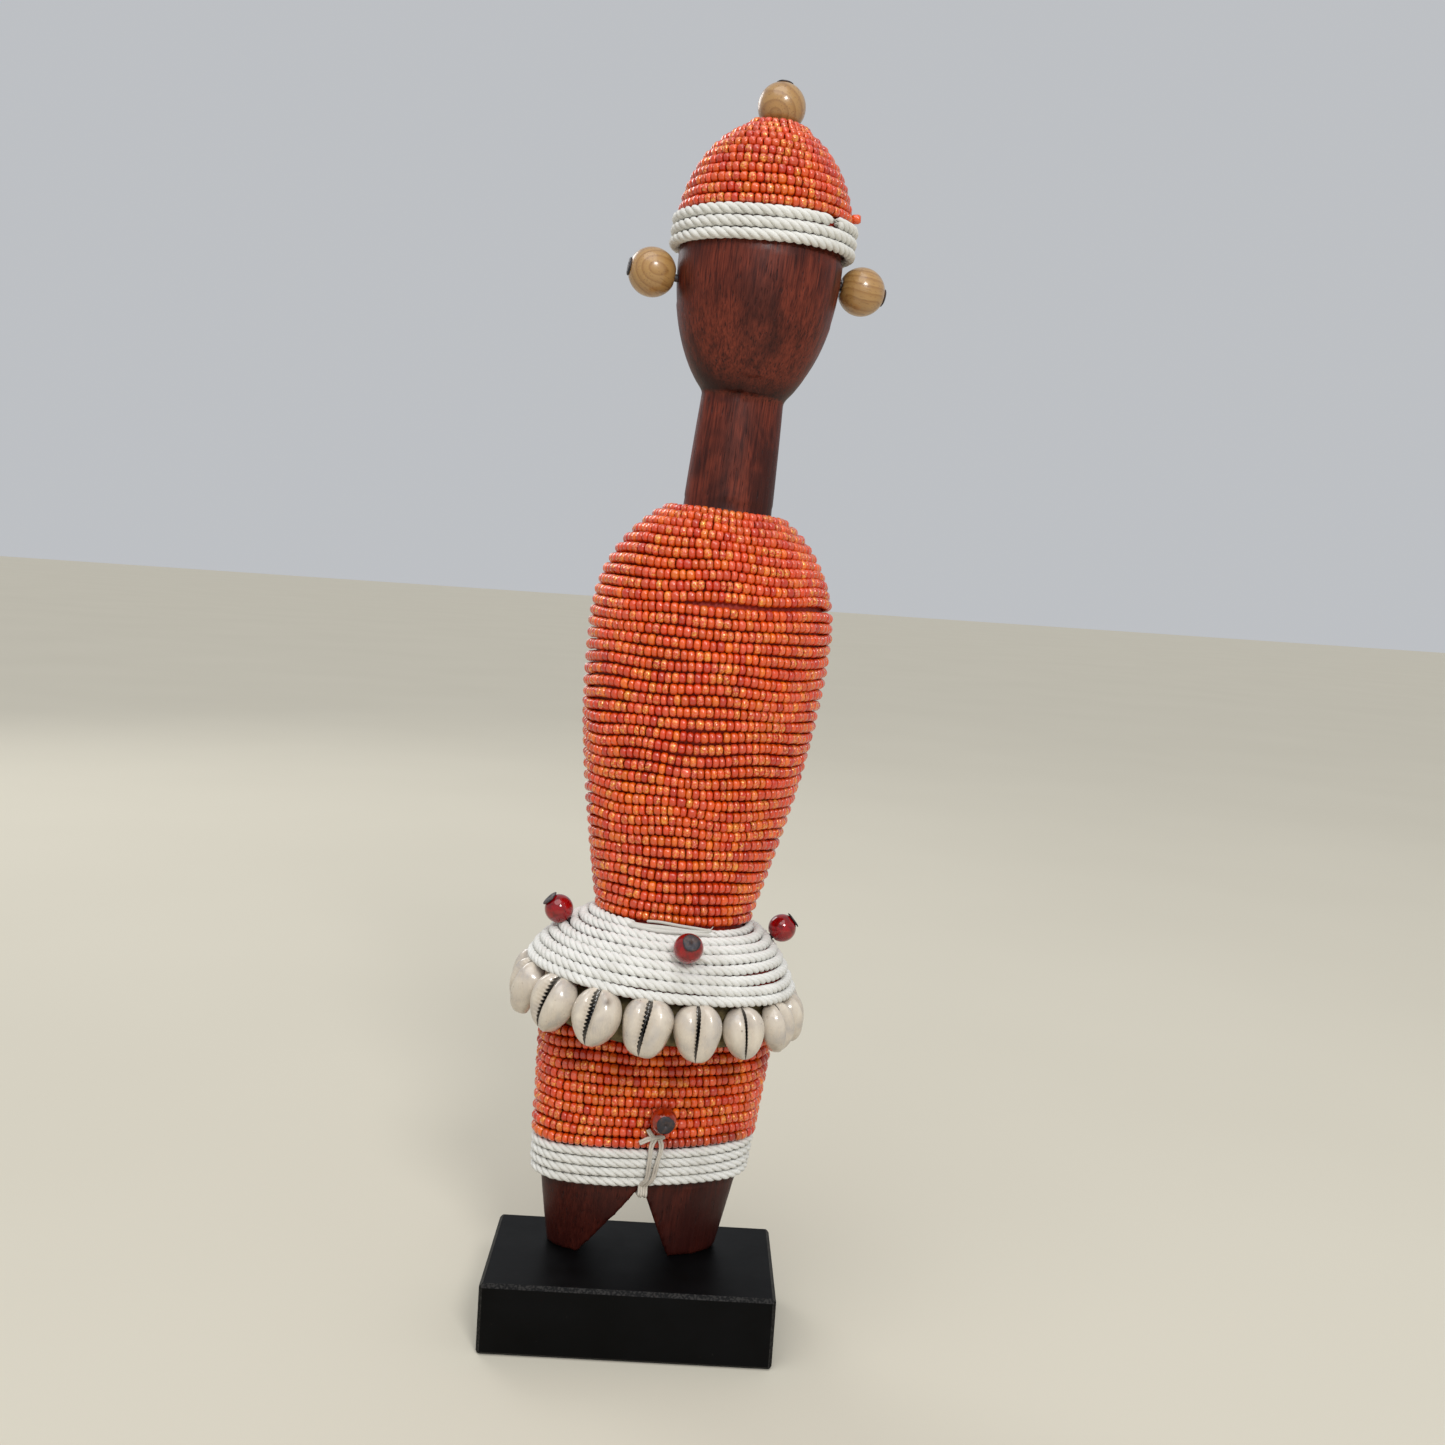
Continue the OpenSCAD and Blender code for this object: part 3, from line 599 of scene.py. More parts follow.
class Strings:
    """Collects beads strung along rows and turns them into pieces."""

    def __init__(self, size=BEAD_THICK):
        self.at, self.way, self.long, self.wide, self.dark = [], [], [], [], []
        self.size = size

    def string(self, path, dark=0.0, keep=None):
        reach = row_length(path)
        count = max(6, round(reach / BEAD_LONG))
        long = np.clip(rng.normal(1, 0.09, count), 0.78, 1.3)
        long[rng.random(count) < 0.04] *= 1.22
        long *= reach / long.sum()
        places = np.cumsum(long) - long / 2 + rng.uniform(0, reach)
        at, way = along_row(path, places)
        if keep is not None:
            kept = keep(at)
            at, way, long, count = at[kept], way[kept], long[kept], int(kept.sum())
        self.at.append(at + rng.normal(0, 0.045, at.shape))
        self.way.append(way + rng.normal(0, 0.035, way.shape))
        self.long.append(long * 0.975)
        self.wide.append(np.clip(rng.normal(self.size, self.size * 0.025, count), 0, self.size * 1.05))
        self.dark.append(np.full(count, float(dark)) if np.isscalar(dark) else dark(at))

    def bead(self, at, way, long=1.0, wide=1.0):
        self.at.append(np.array([at], float))
        self.way.append(np.array([way], float))
        self.long.append(np.array([BEAD_LONG * long]))
        self.wide.append(np.array([self.size * wide]))
        self.dark.append(np.zeros(1))

    def pieces(self, names, node):
        rows = [np.concatenate(part) for part in (self.at, self.way, self.long, self.wide, self.dark)]
        heights = rows[0][:, 2]
        order = np.argsort(heights, kind="stable") if len(names) > 1 else np.arange(len(heights))
        for name, pick in zip(names, np.array_split(order, len(names))):
            self.one(name, node, *(row[pick] for row in rows))

    def one(self, name, node, at, way, long, wide, dark):
        t = unit(way)
        b = unit(np.cross(t, np.column_stack([at[:, 0], at[:, 1] / 0.6, np.zeros(len(at))])))
        n = np.cross(b, t)
        spin = rng.uniform(0, 2 * np.pi, len(at))[:, None]
        n, b = n * np.cos(spin) + b * np.sin(spin), b * np.cos(spin) - n * np.sin(spin)
        p = BEAD_POINTS
        points = (at[:, None] + (long / 2)[:, None, None] * p[None, :, :1] * t[:, None]
                  + (wide / 2)[:, None, None] * (p[None, :, 1:2] * n[:, None] + p[None, :, 2:] * b[:, None]))
        faces = (BEAD_FACES[None] + len(p) * np.arange(len(at))[:, None, None]).reshape(-1, 4)
        piece = new_piece(name, points.reshape(-1, 3), faces, SEED, [node])
        kind = rng.choice(len(BEAD_COLOURS), len(at), p=BEAD_SHARES)
        tint = np.array(BEAD_COLOURS)[kind][:, :3] * rng.uniform(0.74, 1.02, (len(at), 1))
        tint = tint * (1 - dark[:, None] * [0.55, 0.5, 0.1])
        # which beads show the painted lustre glints, and how strongly
        shine = np.where(rng.random(len(at)) < 0.38, rng.uniform(0.4, 1, len(at)), 0.0) * (1 - dark)
        paint(piece, "tint", np.repeat(tint, len(p), 0))
        paint(piece, "lustre", np.repeat(shine, len(p)))
        # the bores' faces, darkened by painted shade in the material
        bore = np.repeat((np.abs(BEAD_PROFILE[:, 0]) < 0.6).astype(float), BEAD_SIDES)
        paint(piece, "deep", np.tile(bore, len(at)))


def row_heights(start, stop, pitch, half):
    """Heights an even distance apart along an outline."""
    s, rows = start, []
    while s < stop and half(s) > CAP_HOLE:
        rows.append(s)
        s += pitch / math.hypot(1, float(half(s + 1) - half(s)))
    return rows


GAP_S, GAP_X, GAP_OPEN = 185.7, (-9.0, 32.0), 0.62      # where two torso rows have parted


def torso_beads():
    strings = Strings()
    waver = make_waver(5, 0.34)
    wood_out = SEED_D / 2

    def wide(s):
        return torso_half(s, wood_out)

    def deep(s):
        return TORSO_FLAT * torso_half(s) - 1.2
    top = row_heights(WAIST_S + wood_out, NECK_S - 1.2, SEED_ROW, wide)
    for s0 in top:
        level = 0.85 * math.sin(math.pi * min(1, max(0, (s0 - WAIST_S) / (NECK_S - WAIST_S)))) ** 0.7
        edge = min(1, (s0 - WAIST_S) / 10, (NECK_S - s0) / 10)
        near = math.exp(-abs(s0 - GAP_S) / 5) * (1 if s0 > GAP_S else -1)

        def lift(phi, s, edge=edge, near=near):
            x = 30 * np.sin(phi)
            begins, ends = 1 + np.exp(-(x - GAP_X[0]) / 2.0), 1 + np.exp((x - GAP_X[1]) / 1.5)
            return edge * waver(phi, s) + GAP_OPEN * near * (np.cos(phi) > -0.1) / begins / ends
        strings.string(oval_row(wide, deep, s0 - 0.45 * math.exp(-(s0 - WAIST_S) / 5), level, lift))
    strings.pieces(["beads_torso_low", "beads_torso_mid", "beads_torso_top"], "torso_beads")


def hip_beads():
    strings = Strings()
    waver = make_waver(11, 0.3)
    start = HEM_S + HEM_TURNS * CORD_D + 0.2
    out = SEED_D / 2 + 0.12

    def stained(at):
        return ((at[:, 0] > 3) & (at[:, 1] < -7)) * rng.uniform(0.35, 0.95, len(at))
    for i in range(HIP_ROWS):
        edge = min(1, i / 2 + 0.15)
        path = hip_row(start + (i + 0.5) * SEED_ROW, out, lambda phi, s, edge=edge: edge * waver(phi, s))
        strings.string(path, stained if i == 0 else 0.0)
    # the level rows leave a wedge under the strip, filled by one part row
    strings.string(hip_row(start + (HIP_ROWS + 0.5) * SEED_ROW, out, waver),
                   keep=lambda at: at[:, 2] < STRIP_S - 1.3)
    strings.pieces(["beads_hips"], "hip_beads")


BAND_DROP = 0.55                                # the cap's cord is level, a little under its CAD place
CAP_BEAD, CAP_TOP = 2.76, CAP_S + CAP_RISE - 3
LOOSE_AT, LOOSE_WAY = (23.2, -5.4, 292.4), (0.9, -0.3, 0.1)


def cap_beads():
    strings = Strings(CAP_BEAD)
    waver = make_waver(23, 0.22)

    def wide(s):
        return cap_half(np.minimum(s, CAP_TOP), SEED_D / 2)

    def deep(s):
        return HEAD_FLAT * cap_half(np.minimum(s, CAP_TOP)) - 1.25
    rows = row_heights(BAND_S + BAND_TURNS * BAND_D + SEED_D / 2, CAP_S + CAP_RISE, CAP_ROW, wide)
    for i, s0 in enumerate(rows):
        fade = 1 - i / len(rows)
        strings.string(oval_row(wide, deep, s0 - BAND_DROP * fade, fade,
                                lambda phi, s, i=i: min(1, 0.3 + i / 3) * waver(phi, s)))
    # a short row closes the crown, and one bead has worked loose beside the cord's end
    strings.string(oval_row(lambda s: 3.9 + 0 * s, lambda s: 3.6 + 0 * s, rows[-1] + 1.35, 0))
    strings.bead(LOOSE_AT, LOOSE_WAY, 1.35, 0.95)
    strings.pieces(["beads_cap"], "cap_beads")


# ---------- cords ----------

STRANDS, CORD_STEP = 3, 0.85
STRAND_OUT, STRAND_R = 0.243, 0.275             # shares of the cord's width
SKIRT_LAY, HEM_LAY, CAP_LAY = 7.2, 7.6, 7.8     # length of one turn of the strands
LAP_AT, LAP_STEP, LAP = 0.47, 0.02, 1.0         # where round the back a closed row laps itself, and how far


def cord_strands(route, width, lay=SKIRT_LAY):
    """Twisted cord: each strand is a tube that winds around the route."""
    reach = distances(route)
    far = np.linspace(0, reach[-1], int(reach[-1] / CORD_STEP) + 1)
    line = between(far, reach, route)
    u, v = crossways(unit(np.gradient(line, axis=0)), UP)
    uneven = 1 + 0.04 * np.sin(far * 0.37 + 1) + 0.03 * np.sin(far * 0.91)
    parts = []
    for k in range(STRANDS):
        a = 2 * np.pi * (far / lay + k / STRANDS)
        mid = line + width * STRAND_OUT * (np.cos(a)[:, None] * u + np.sin(a)[:, None] * v)
        parts.append(sweep(mid, width * STRAND_R * uneven))
    return (*merged(parts), line)


def strand_depth(points, line, width):
    """How far each point is sunk between the strands, from 0 to 1."""
    step = max(1, len(line) // 4000)
    thin = line[::step]
    near = np.empty(len(points))
    for a in range(0, len(points), 4000):
        block = points[a:a + 4000]
        near[a:a + 4000] = ((block[:, None] - thin[None]) ** 2).sum(-1).min(1)
    return np.clip(1 - (np.sqrt(near) - width * 0.2) / (width * 0.28), 0, 1)


def cord_piece(name, node, parts, width):
    points, faces = merged([(p, f) for p, f, _ in parts])
    # deep sets the painted shade between the strands
    deep = np.concatenate([strand_depth(p, line, width) for p, _, line in parts])
    paint(new_piece(name, points, faces, COTTON, [node]), "deep", deep)


def sway(points, share):
    """The skirt's lower edge hangs lower at the right."""
    return points + np.stack([0.2 * share, 0 * share, -0.034 * (points[:, 0] + 9) * share], -1)


def frayed_end(at, way, count, long, spread, seed):
    """Loose fibres at a cut end of cord, as thin tubes."""
    r = np.random.default_rng(seed)
    at, way = np.asarray(at, float), np.asarray(way, float) / np.linalg.norm(way)
    parts = []
    for _ in range(count):
        aim = way + spread * r.normal(size=3)
        reach = long * r.uniform(0.5, 1.1)
        f = np.linspace(0, 1, 9)[:, None]
        bend = 0.5 * spread * reach * r.normal(size=3)
        line = at + 0.7 * r.normal(size=3) * 0.6 + reach * (f - 0.25) * aim + f ** 2 * bend
        parts.append((*sweep(line, np.linspace(0.24, 0.09, 9), 6, across=(0.3, 0.5, 0.81)), line))
    return parts


def cone_axes(t):
    """Half axes and height of the skirt cord's middle line, a share t of the way down the cone."""
    middle, outer = cone_point(t, CORD_D / 2), cone_point(t, 0)
    return middle[:, 0], SKIRT_FLAT * outer[:, 0] - (outer[:, 0] - middle[:, 0]), middle[:, 1]


SKIRT_START, SKIRT_END = -0.16, SKIRT_TURNS - 1 + 0.40          # in turns from the back
TOP_T, TUCKED_T = 0.5 / SKIRT_TURNS - 0.022, 0.04               # the top turn is pushed up a little


def skirt_cord():
    """One cord wound from the rim up to the waist, its cut end lying at the top front."""
    turns = np.linspace(SKIRT_START, SKIRT_END, 1900)
    phi = np.pi + 2 * np.pi * turns
    step = np.clip((turns % 1.0 - 0.86) / 0.14, 0, 1)       # each turn steps up to the next at the back
    row = np.where(turns < 0, 0, np.floor(turns) + step * step * (3 - 2 * step))
    t = 1 - (row + 0.5) / SKIRT_TURNS - 0.022 * np.clip(row - 4, 0, 3) / 3
    w, d, s = cone_axes(t)
    s = s + 0.13 * np.sin(3 * phi + row * 1.7) + 0.1 * np.sin(5 * phi + row)
    swell = 1.5 * np.clip(0.35 - np.sin(phi), 0, 1.3) ** 1.4 * np.clip((t - 0.25) / 0.5, 0, 1)
    route = sway(ring_points(w + swell, d + 0.4 * swell, phi, s), np.clip((t - 0.35) / 0.5, 0, 1))
    route[:, 2] += 0.5 * np.clip((turns - SKIRT_END + 0.05) / 0.05, 0, 1)
    main = cord_strands(route, CORD_D * 1.09)
    # its last stretch has come untwisted into flat strands that end at the front
    last, f = np.linspace(SKIRT_END - 0.01, SKIRT_END + 0.156, 60), np.linspace(0, 1, 60)
    w, d, s = cone_axes(TOP_T + 0 * last)
    strands = []
    for k, (rise, ahead) in enumerate(((-0.8, 0.0), (0.05, 0.3), (0.9, 0.0))):
        wave = 0.22 * np.sin(9 * f + 2 * k)
        height = s + (rise + wave) * (0.45 + 0.55 * f)
        line = ring_points(w + ahead, d + ahead, np.pi + 2 * np.pi * last, height)
        strands.append((*sweep(line, 0.8 - 0.16 * f), line))
    flat = np.stack([line[-30:] for _, _, line in strands]).mean(0)
    end = flat[-1]
    tuft = frayed_end(end, end - flat[-12], 9, 2.6, 0.34, 61)
    edge = smooth_route([end + [0.3, -0.1, 0.9], end + [-4.0, -0.9, 1.5], end + [-9.0, -1.0, 1.9],
                         end + [-14.0, 0.3, 2.1], end + [-17.5, 2.2, 1.6]], 60)
    pulled = smooth_route([(0.4, -23.5, 94.0), (1.0, -25.3, 93.3), (3.2, -26.5, 91.9),
                           (6.6, -26.9, 90.9)], 24)
    strays = [(*sweep(line, wide, 6), line) for line, wide in ((edge, 0.42), (pulled, 0.3))]
    # the rest of the top turn, tucked in under the end
    hidden = np.linspace(SKIRT_END + 0.145, SKIRT_TURNS + 0.02, 200)
    w, d, s = cone_axes(TUCKED_T + 0 * hidden)
    rest = ring_points(w - 0.35, d - 0.35, np.pi + 2 * np.pi * hidden, s - 0.3)
    tucked = cord_strands(rest, CORD_D * 0.96)
    cord_piece("cord_skirt", "waist_cord", [main, tucked, *strands, *tuft, *strays], CORD_D)


def closed_route(path, start, extra):
    """A closed row as an open route that laps itself a little, hidden at the back."""
    reach = row_length(path)
    places = start * reach + np.linspace(0, reach + extra, 700)
    return along_row(path, places)[0]


def hem_cord():
    waver = make_waver(31, 0.1)
    parts = []
    for i in range(HEM_TURNS):
        path = hip_row(HEM_S + (i + 0.5) * CORD_D, CORD_D / 2 + 0.1, waver)
        parts.append(cord_strands(closed_route(path, LAP_AT + LAP_STEP * i, LAP), CORD_D, HEM_LAY))
    cord_piece("cord_hem", "hem_cord", parts, CORD_D)


def cap_cord():
    mid = CAP_W - SEED_D + 0.6 + BAND_D / 2
    deep = HEAD_FLAT * (mid + BAND_D / 2) - BAND_D / 2
    waver = make_waver(37, 0.09)
    parts = []
    for i in range(BAND_TURNS):
        level = BAND_S + (i + 0.5) * BAND_D - BAND_DROP
        path = oval_row(lambda s: mid + 0 * s, lambda s: deep + 0 * s, level, 1.0, waver)
        if i < BAND_TURNS - 1:
            parts.append(cord_strands(closed_route(path, LAP_AT + LAP_STEP * i, LAP), BAND_D, CAP_LAY))
        else:  # the last turn's cut end lies at the right
            last = closed_route(path, 0.125, -2.2)
            parts.append(cord_strands(last, BAND_D, CAP_LAY))
            parts += frayed_end(last[0], last[0] - last[12], 9, 2.2, 0.3, 67)
    cord_piece("cord_cap", "cap_cord", parts, BAND_D)


# ---------- carved wood ----------

VOXEL, WELD = 0.0008, 2e-6                      # metres
SOLE_Z = 0.0206                                 # below this the feet stay flat on the block
FOOT_S, FOOT_SQUARE = 20.0, 0.8                 # the feet turn back by this share of the doll's turn
NECK_FLAT, PIT_AT = (213, 246), (-2.6, 241.5)
BARE_HEAD, BARE_FEET, EAR_SEAT, EAR_SEAT_X = (213, 278), 22, (264, 281), 19
HIDDEN_BODY, HIDDEN_CROWN = (34, 209.6), 284    # wood under beads and cord
KNIFE_DEPTH, HIDDEN_DEPTH = 0.16, -0.12


def within(s, limits):
    return (s > limits[0]) & (s < limits[1])


def carved_mesh():
    """The CAD's carved figure, remeshed evenly."""
    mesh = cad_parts["carved_figure"].data.copy()
    tool = bmesh.new()
    tool.from_mesh(mesh)
    bmesh.ops.remove_doubles(tool, verts=tool.verts, dist=WELD)
    tool.to_mesh(mesh)
    tool.free()
    piece = linked("figure_carved", mesh)
    remesh = piece.modifiers.new("remesh", "REMESH")
    remesh.mode, remesh.voxel_size, remesh.use_smooth_shade = "VOXEL", VOXEL, True
    relax = piece.modifiers.new("relax", "SMOOTH")
    relax.factor, relax.iterations = 0.5, 1
    done = bpy.data.meshes.new_from_object(piece.evaluated_get(bpy.context.evaluated_depsgraph_get()))
    piece.modifiers.clear()
    piece.data = done
    done.name = "figure_carved"
    return piece


def read(vertices, name):
    values = np.empty(len(vertices) * 3, np.float32)
    vertices.foreach_get(name, values)
    return values.reshape(-1, 3).astype(float)


def carved_figure():
    """A knife's soft facets on the bare wood, square feet, and the grain's frame kept on the mesh."""
    piece = carved_mesh()
    co, nor = read(piece.data.vertices, "co"), read(piece.data.vertices, "normal")
    x, y, s = to_doll(co).T
    # the feet stand square on the block though the body is turned
    back = -FOOT_SQUARE * TURN * np.clip((FOOT_S - s) / FOOT_S, 0, 1)
    off = co[:, :2] - STAND[:2] * MM
    co[:, 0] = STAND[0] * MM + off[:, 0] * np.cos(back) - off[:, 1] * np.sin(back)
    co[:, 1] = STAND[1] * MM + off[:, 0] * np.sin(back) + off[:, 1] * np.cos(back)
    facet = (np.abs(np.sin(0.16 * x + 0.9 * np.sin(0.05 * s + 1) + 0.12 * y))
             + 0.6 * np.abs(np.sin(0.21 * y + 0.11 * x + 0.07 * s)))
    bare = within(s, BARE_HEAD) | (s < BARE_FEET)
    bare = bare & ~(within(s, EAR_SEAT) & (np.abs(x) > EAR_SEAT_X))
    depth = np.where(bare, KNIFE_DEPTH * (facet - 0.9), HIDDEN_DEPTH)
    flat_front = np.clip(1 - np.abs(x) / 6, 0, 1) * np.clip((-y - 9.5) / 3, 0, 1)
    depth -= np.where(within(s, NECK_FLAT), 0.7 * flat_front, 0)
    depth -= 0.6 * np.exp(-((x - PIT_AT[0]) ** 2 + (s - PIT_AT[1]) ** 2) / 0.55) * (y < 0)
    depth = np.where(co[:, 2] < SOLE_Z, 0, depth)
    co += nor * depth[:, None] * MM
    piece.data.vertices.foreach_set("co", co.astype(np.float32).ravel())
    piece.data.update()
    dress(piece, WOOD, ["carved_figure"], "doll")
    paint(piece, "doll", to_doll(co))
    paint(piece, "covered", (within(s, HIDDEN_BODY) | (s > HIDDEN_CROWN)).astype(float))


def leather_strip():
    """Strip that the shells are sewn to: an uneven edge, slightly puckered between the stitches."""
    around, levels = 360, 12
    phi = np.linspace(0, 2 * np.pi, around, endpoint=False)
    waver = make_waver(41, 0.35)
    pucker = 0.22 * np.cos(phi * SHELLS)
    low = STRIP_S + 0.35 + waver(phi, 0.0)
    top = RIM_S - 2.4
    rings = []
    for side, inset in ((1, 0.0), (-1, STRIP_T - 0.15)):
        for k in range(levels):
            f = k / (levels - 1) if side > 0 else 1 - k / (levels - 1)
            w = STRIP_W - inset + pucker * (1 - f) - 0.25
            w = w - 0.3 * (f in (0, 1)) * side              # rounded edges
            rings.append(ring_points(w, w * SKIRT_FLAT, phi, low + (top - low) * f))
    points = np.concatenate(rings)
    faces = outward(points, grid_faces(len(rings), around, wrap_n=True))
    new_piece("strip_leather_band", points, faces, LEATHER, ["shell_band"])


# ---------- cowrie shells ----------

SHELL_OVAL = (1 - SKIRT_FLAT) / (1 + SKIRT_FLAT) / 2  # radians
SHELL_NUDGE = {1: 0.8, 2: 2.4, 3: 4.4, 4: 5.2, 5: 3.8, 6: 2.0}  # the seen row is spaced a little wider


def shell_phi(k):
    t = math.radians(SHELL_START + (k - 1) * 360 / SHELLS)
    return t - SHELL_OVAL * math.sin(2 * t) + math.radians(SHELL_NUDGE.get(k, 0.0))


# Wideness of the slit (painted dark inside as shade), slant in degrees and size of the shells that differ
# most
SHELL_CHARACTER = {14: (0.35, 6, 1.0), 15: (0.85, 13, 1.03), 16: (1.0, 4, 1.01), 1: (0.9, 5, 1.02),
                   2: (0.6, -2, 1.0), 3: (0.5, -7, 0.92), 4: (0.22, -9, 0.9), 5: (0.5, -6, 0.9)}


def shell_mesh(open_, seed):
    """Toothed side of a cowrie: two lobes that roll into a slit, and a back cut off flat."""
    r = np.random.default_rng(seed)
    stations, l, w = 112, SHELL_L, SHELL_W / 2
    a = np.pi * (np.arange(stations) + 0.5) / stations
    z = -l / 2 * np.cos(a)
    girth = np.sin(a) ** 0.8 * (1 - 0.12 * np.cos(a))
    up = z / (l / 2)
    x0 = w * (-0.13 + 0.03 * np.sin(2.2 * up + r.uniform(-0.4, 0.4))) * np.minimum(1, girth + 0.25)
    gap = (0.34 + 0.66 * open_ * (0.3 + 0.7 * (0.5 + 0.5 * up))) * np.clip(girth * 1.6 - 0.25, 0.25, 1)
    count = 14 + int(r.integers(0, 3))
    saw = (z / l) * count * 2 * np.pi + r.uniform(0, 6)
    inside = np.clip(1.25 - np.abs(up) * 1.35, 0, 1) ** 0.5
    tooth_l = np.maximum(0, np.sin(saw)) ** 0.7 * inside
    tooth_r = np.maximum(0, np.sin(saw + 2.6)) ** 0.9 * inside * 0.55
    edge_l = x0 - gap + (0.12 + 0.55 * gap) * tooth_l
    edge_r = x0 + gap - (0.05 + 0.25 * gap) * tooth_r

    def dome(x, side):
        """Height of the lobes over the widest line at x."""
        u = np.clip(np.abs(x) / (w * girth[:, None]), 0, 1)
        base = SHELL_T * girth[:, None] * (1 - u ** 2.5) ** 0.5
        near = np.abs(x - x0[:, None])
        return base * (1 - 0.52 * np.exp(-(near / (1.35 if side < 0 else 1.9)) ** 1.5))

    f_out = 1 - np.cos(np.linspace(0, np.pi / 2, 17))       # dense at the slit's edge
    rows_x, rows_y, tag = [], [], []

    def put(x, y, slit_shade):
        rows_x.append(x)
        rows_y.append(y)
        tag.append(np.broadcast_to(slit_shade, x.shape))

    full = w * girth
    lip = dome(np.stack([edge_r, edge_l], 1), 1)
    put(x0, np.minimum(lip[:, 0], lip[:, 1]) - 1.9 * np.minimum(1, girth), 1.0)
    inner = ((1.0, 0.75, 1.0), (0.45, 0.95, 1.0), (0.12, 1.02, None))   # depth, share, painted slit shade

    def wall(edge, side, soft_slit_shade):
        """One side of the slit, from its floor up to the edge."""
        rows = [(x0 + (edge - x0) * share, lip[:, (1 - side) // 2] - deep * np.minimum(1, girth),
                 soft_slit_shade if slit_shade is None else slit_shade) for deep, share, slit_shade in inner]
        for row in rows[::side]:
            put(*row)

    def lobe(edge, tooth, side, rib, reach, edge_slit_shade):
        """One lobe, from the slit's edge to the shell's side."""
        for f in f_out[::side]:
            x = edge + (side * full * 0.9999 - edge) * f
            ribs = rib * tooth * np.exp(-((x - edge) / reach) ** 2)
            put(x, dome(x[:, None], side)[:, 0] + ribs, 0.0 if f > 0 else edge_slit_shade)

    wall(edge_r, 1, 0.75)
    lobe(edge_r, tooth_r, 1, 0.10, 1.2, 0.2)
    depth_back = np.minimum(1.75, full * 0.5)
    for f, g in ((0.985, 0.4), (0.93, 0.78), (0.85, 1.0), (0.4, 1.0), (-0.4, 1.0), (-0.85, 1.0),
                 (-0.93, 0.78), (-0.985, 0.4)):
        put(full * f, -depth_back * g, 0.0)
    lobe(edge_l, tooth_l, -1, 0.20, 1.1, 0.12)
    wall(edge_l, -1, 0.7)
    x, y, tag = (np.stack(rows, 1) for rows in (rows_x, rows_y, tag))
    m = x.shape[1]
    points = np.stack([x, -y, np.repeat(z[:, None], m, 1)], -1).reshape(-1, 3)
    points, faces = close_ends(points, grid_faces(stations, m), stations, m)
    # painted shade in the slit, a little weaker towards its ends
    slit_shade = np.concatenate([(tag * (inside[:, None] * 0.4 + 0.6)).ravel(), [0.5, 0.5]])
    soft = 1 + 0.02 * np.sin(points[:, 2] * 0.6 + seed) + 0.015 * np.sin(points[:, 0] * 0.9 + seed)
    points = points * np.column_stack([soft, np.ones(len(points)), soft])
    return points, outward(points, faces), slit_shade


def cowrie(k):
    seed = 300 + k
    r = np.random.default_rng(seed)
    usual = (r.uniform(0.2, 0.95), r.uniform(-3, 7), r.uniform(0.95, 1.02))
    open_, slant, size = SHELL_CHARACTER.get(k, usual)
    points, faces, slit_shade = shell_mesh(open_, seed)
    stain = 0 * slit_shade
    if k == 16:  # a dark mark near the top of one shell
        stain = np.exp(-((points[:, 0] - 3.2) ** 2 / 0.9 + (points[:, 2] - 4.6) ** 2 / 1.1))
    points = points * [size * r.uniform(0.95, 1.0), size, size]
    a = shell_phi(k)
    face = math.atan2(math.sin(a), math.cos(a) / SKIRT_FLAT)
    top = STRIP_W * np.array([math.sin(a), -SKIRT_FLAT * math.cos(a)])
    top = top + (SHELL_OFF + 2.4 * max(0.0, -math.sin(a))) * np.array([math.sin(face), -math.cos(face)])
    points = points @ rot_y(math.radians(slant)).T - [0, 0, SHELL_L / 2]
    points = points @ rot_x(math.radians(-SHELL_TILT + r.uniform(-1.5, 1.5))).T
    place = sway(np.array([[top[0], top[1], SHELL_TOP - 0.2]]), np.array([1.0]))
    points = points @ rot_z(face + math.radians(r.uniform(-5, 5))).T + place
    piece = new_piece(f"shell_{k:02d}", points, faces, SHELL, [f"cowrie_{k:02d}"])
    paint(piece, "slit", slit_shade)
    paint(piece, "stain", stain)


# ---------- loose beads, nails, thread ----------

FLAT_SHARE, END_GAP, PLAY, NAIL_HEAD_SHARE = 0.92, 0.3, 0.07, 0.7
CROWN_D, EAR_D, GLASS_D, HIP_BEAD_D = 12.9, 13.0, 8.0, 7.2
BIG_NAIL, SMALL_NAIL, HIP_NAIL = (1.0, 2.4, 0.9, 17.0), (0.8, 2.4, 0.7, 10.0), (0.9, 2.5, 0.8, 7.0)
CROWN_S = CAP_S + CAP_RISE - SEED_D + 0.65 + FLAT_SHARE * CROWN_D / 2
EAR_X = 22.5 + END_GAP + 0.15 + FLAT_SHARE * EAR_D / 2
HIP_BEAD_S = 43.9
HIP_BEAD_Y = HIP_FLAT * half_hip(HIP_BEAD_S) + SEED_D + END_GAP + FLAT_SHARE * HIP_BEAD_D / 2
GLASS_DOWN = 8.0
GLASS_OFF = CONE_BULGE * math.sin(math.pi * GLASS_DOWN / CONE_LEN) + END_GAP + FLAT_SHARE * GLASS_D / 2


def at_ear(side):
    return rot_y(math.radians(side * 90 + 4)), np.array([side * EAR_X, 0, 272.7 + side * 2.3])


def at_skirt(a):
    flat = SKIRT_FLAT if abs(math.cos(math.radians(a))) > 0.5 else 1
    top, end = CONE_TOP * [flat, 1], CONE_END * [flat, 1]
    way = (end - top) / np.linalg.norm(end - top)
    out = np.array([-way[1], way[0]])
    p = top + way * GLASS_DOWN + out * GLASS_OFF
    turn = rot_z(math.radians(a))
    tip = math.pi / 2 - math.atan2(out[1], out[0])
    return turn @ rot_x(tip), turn @ np.array([0, -p[0], p[1]])


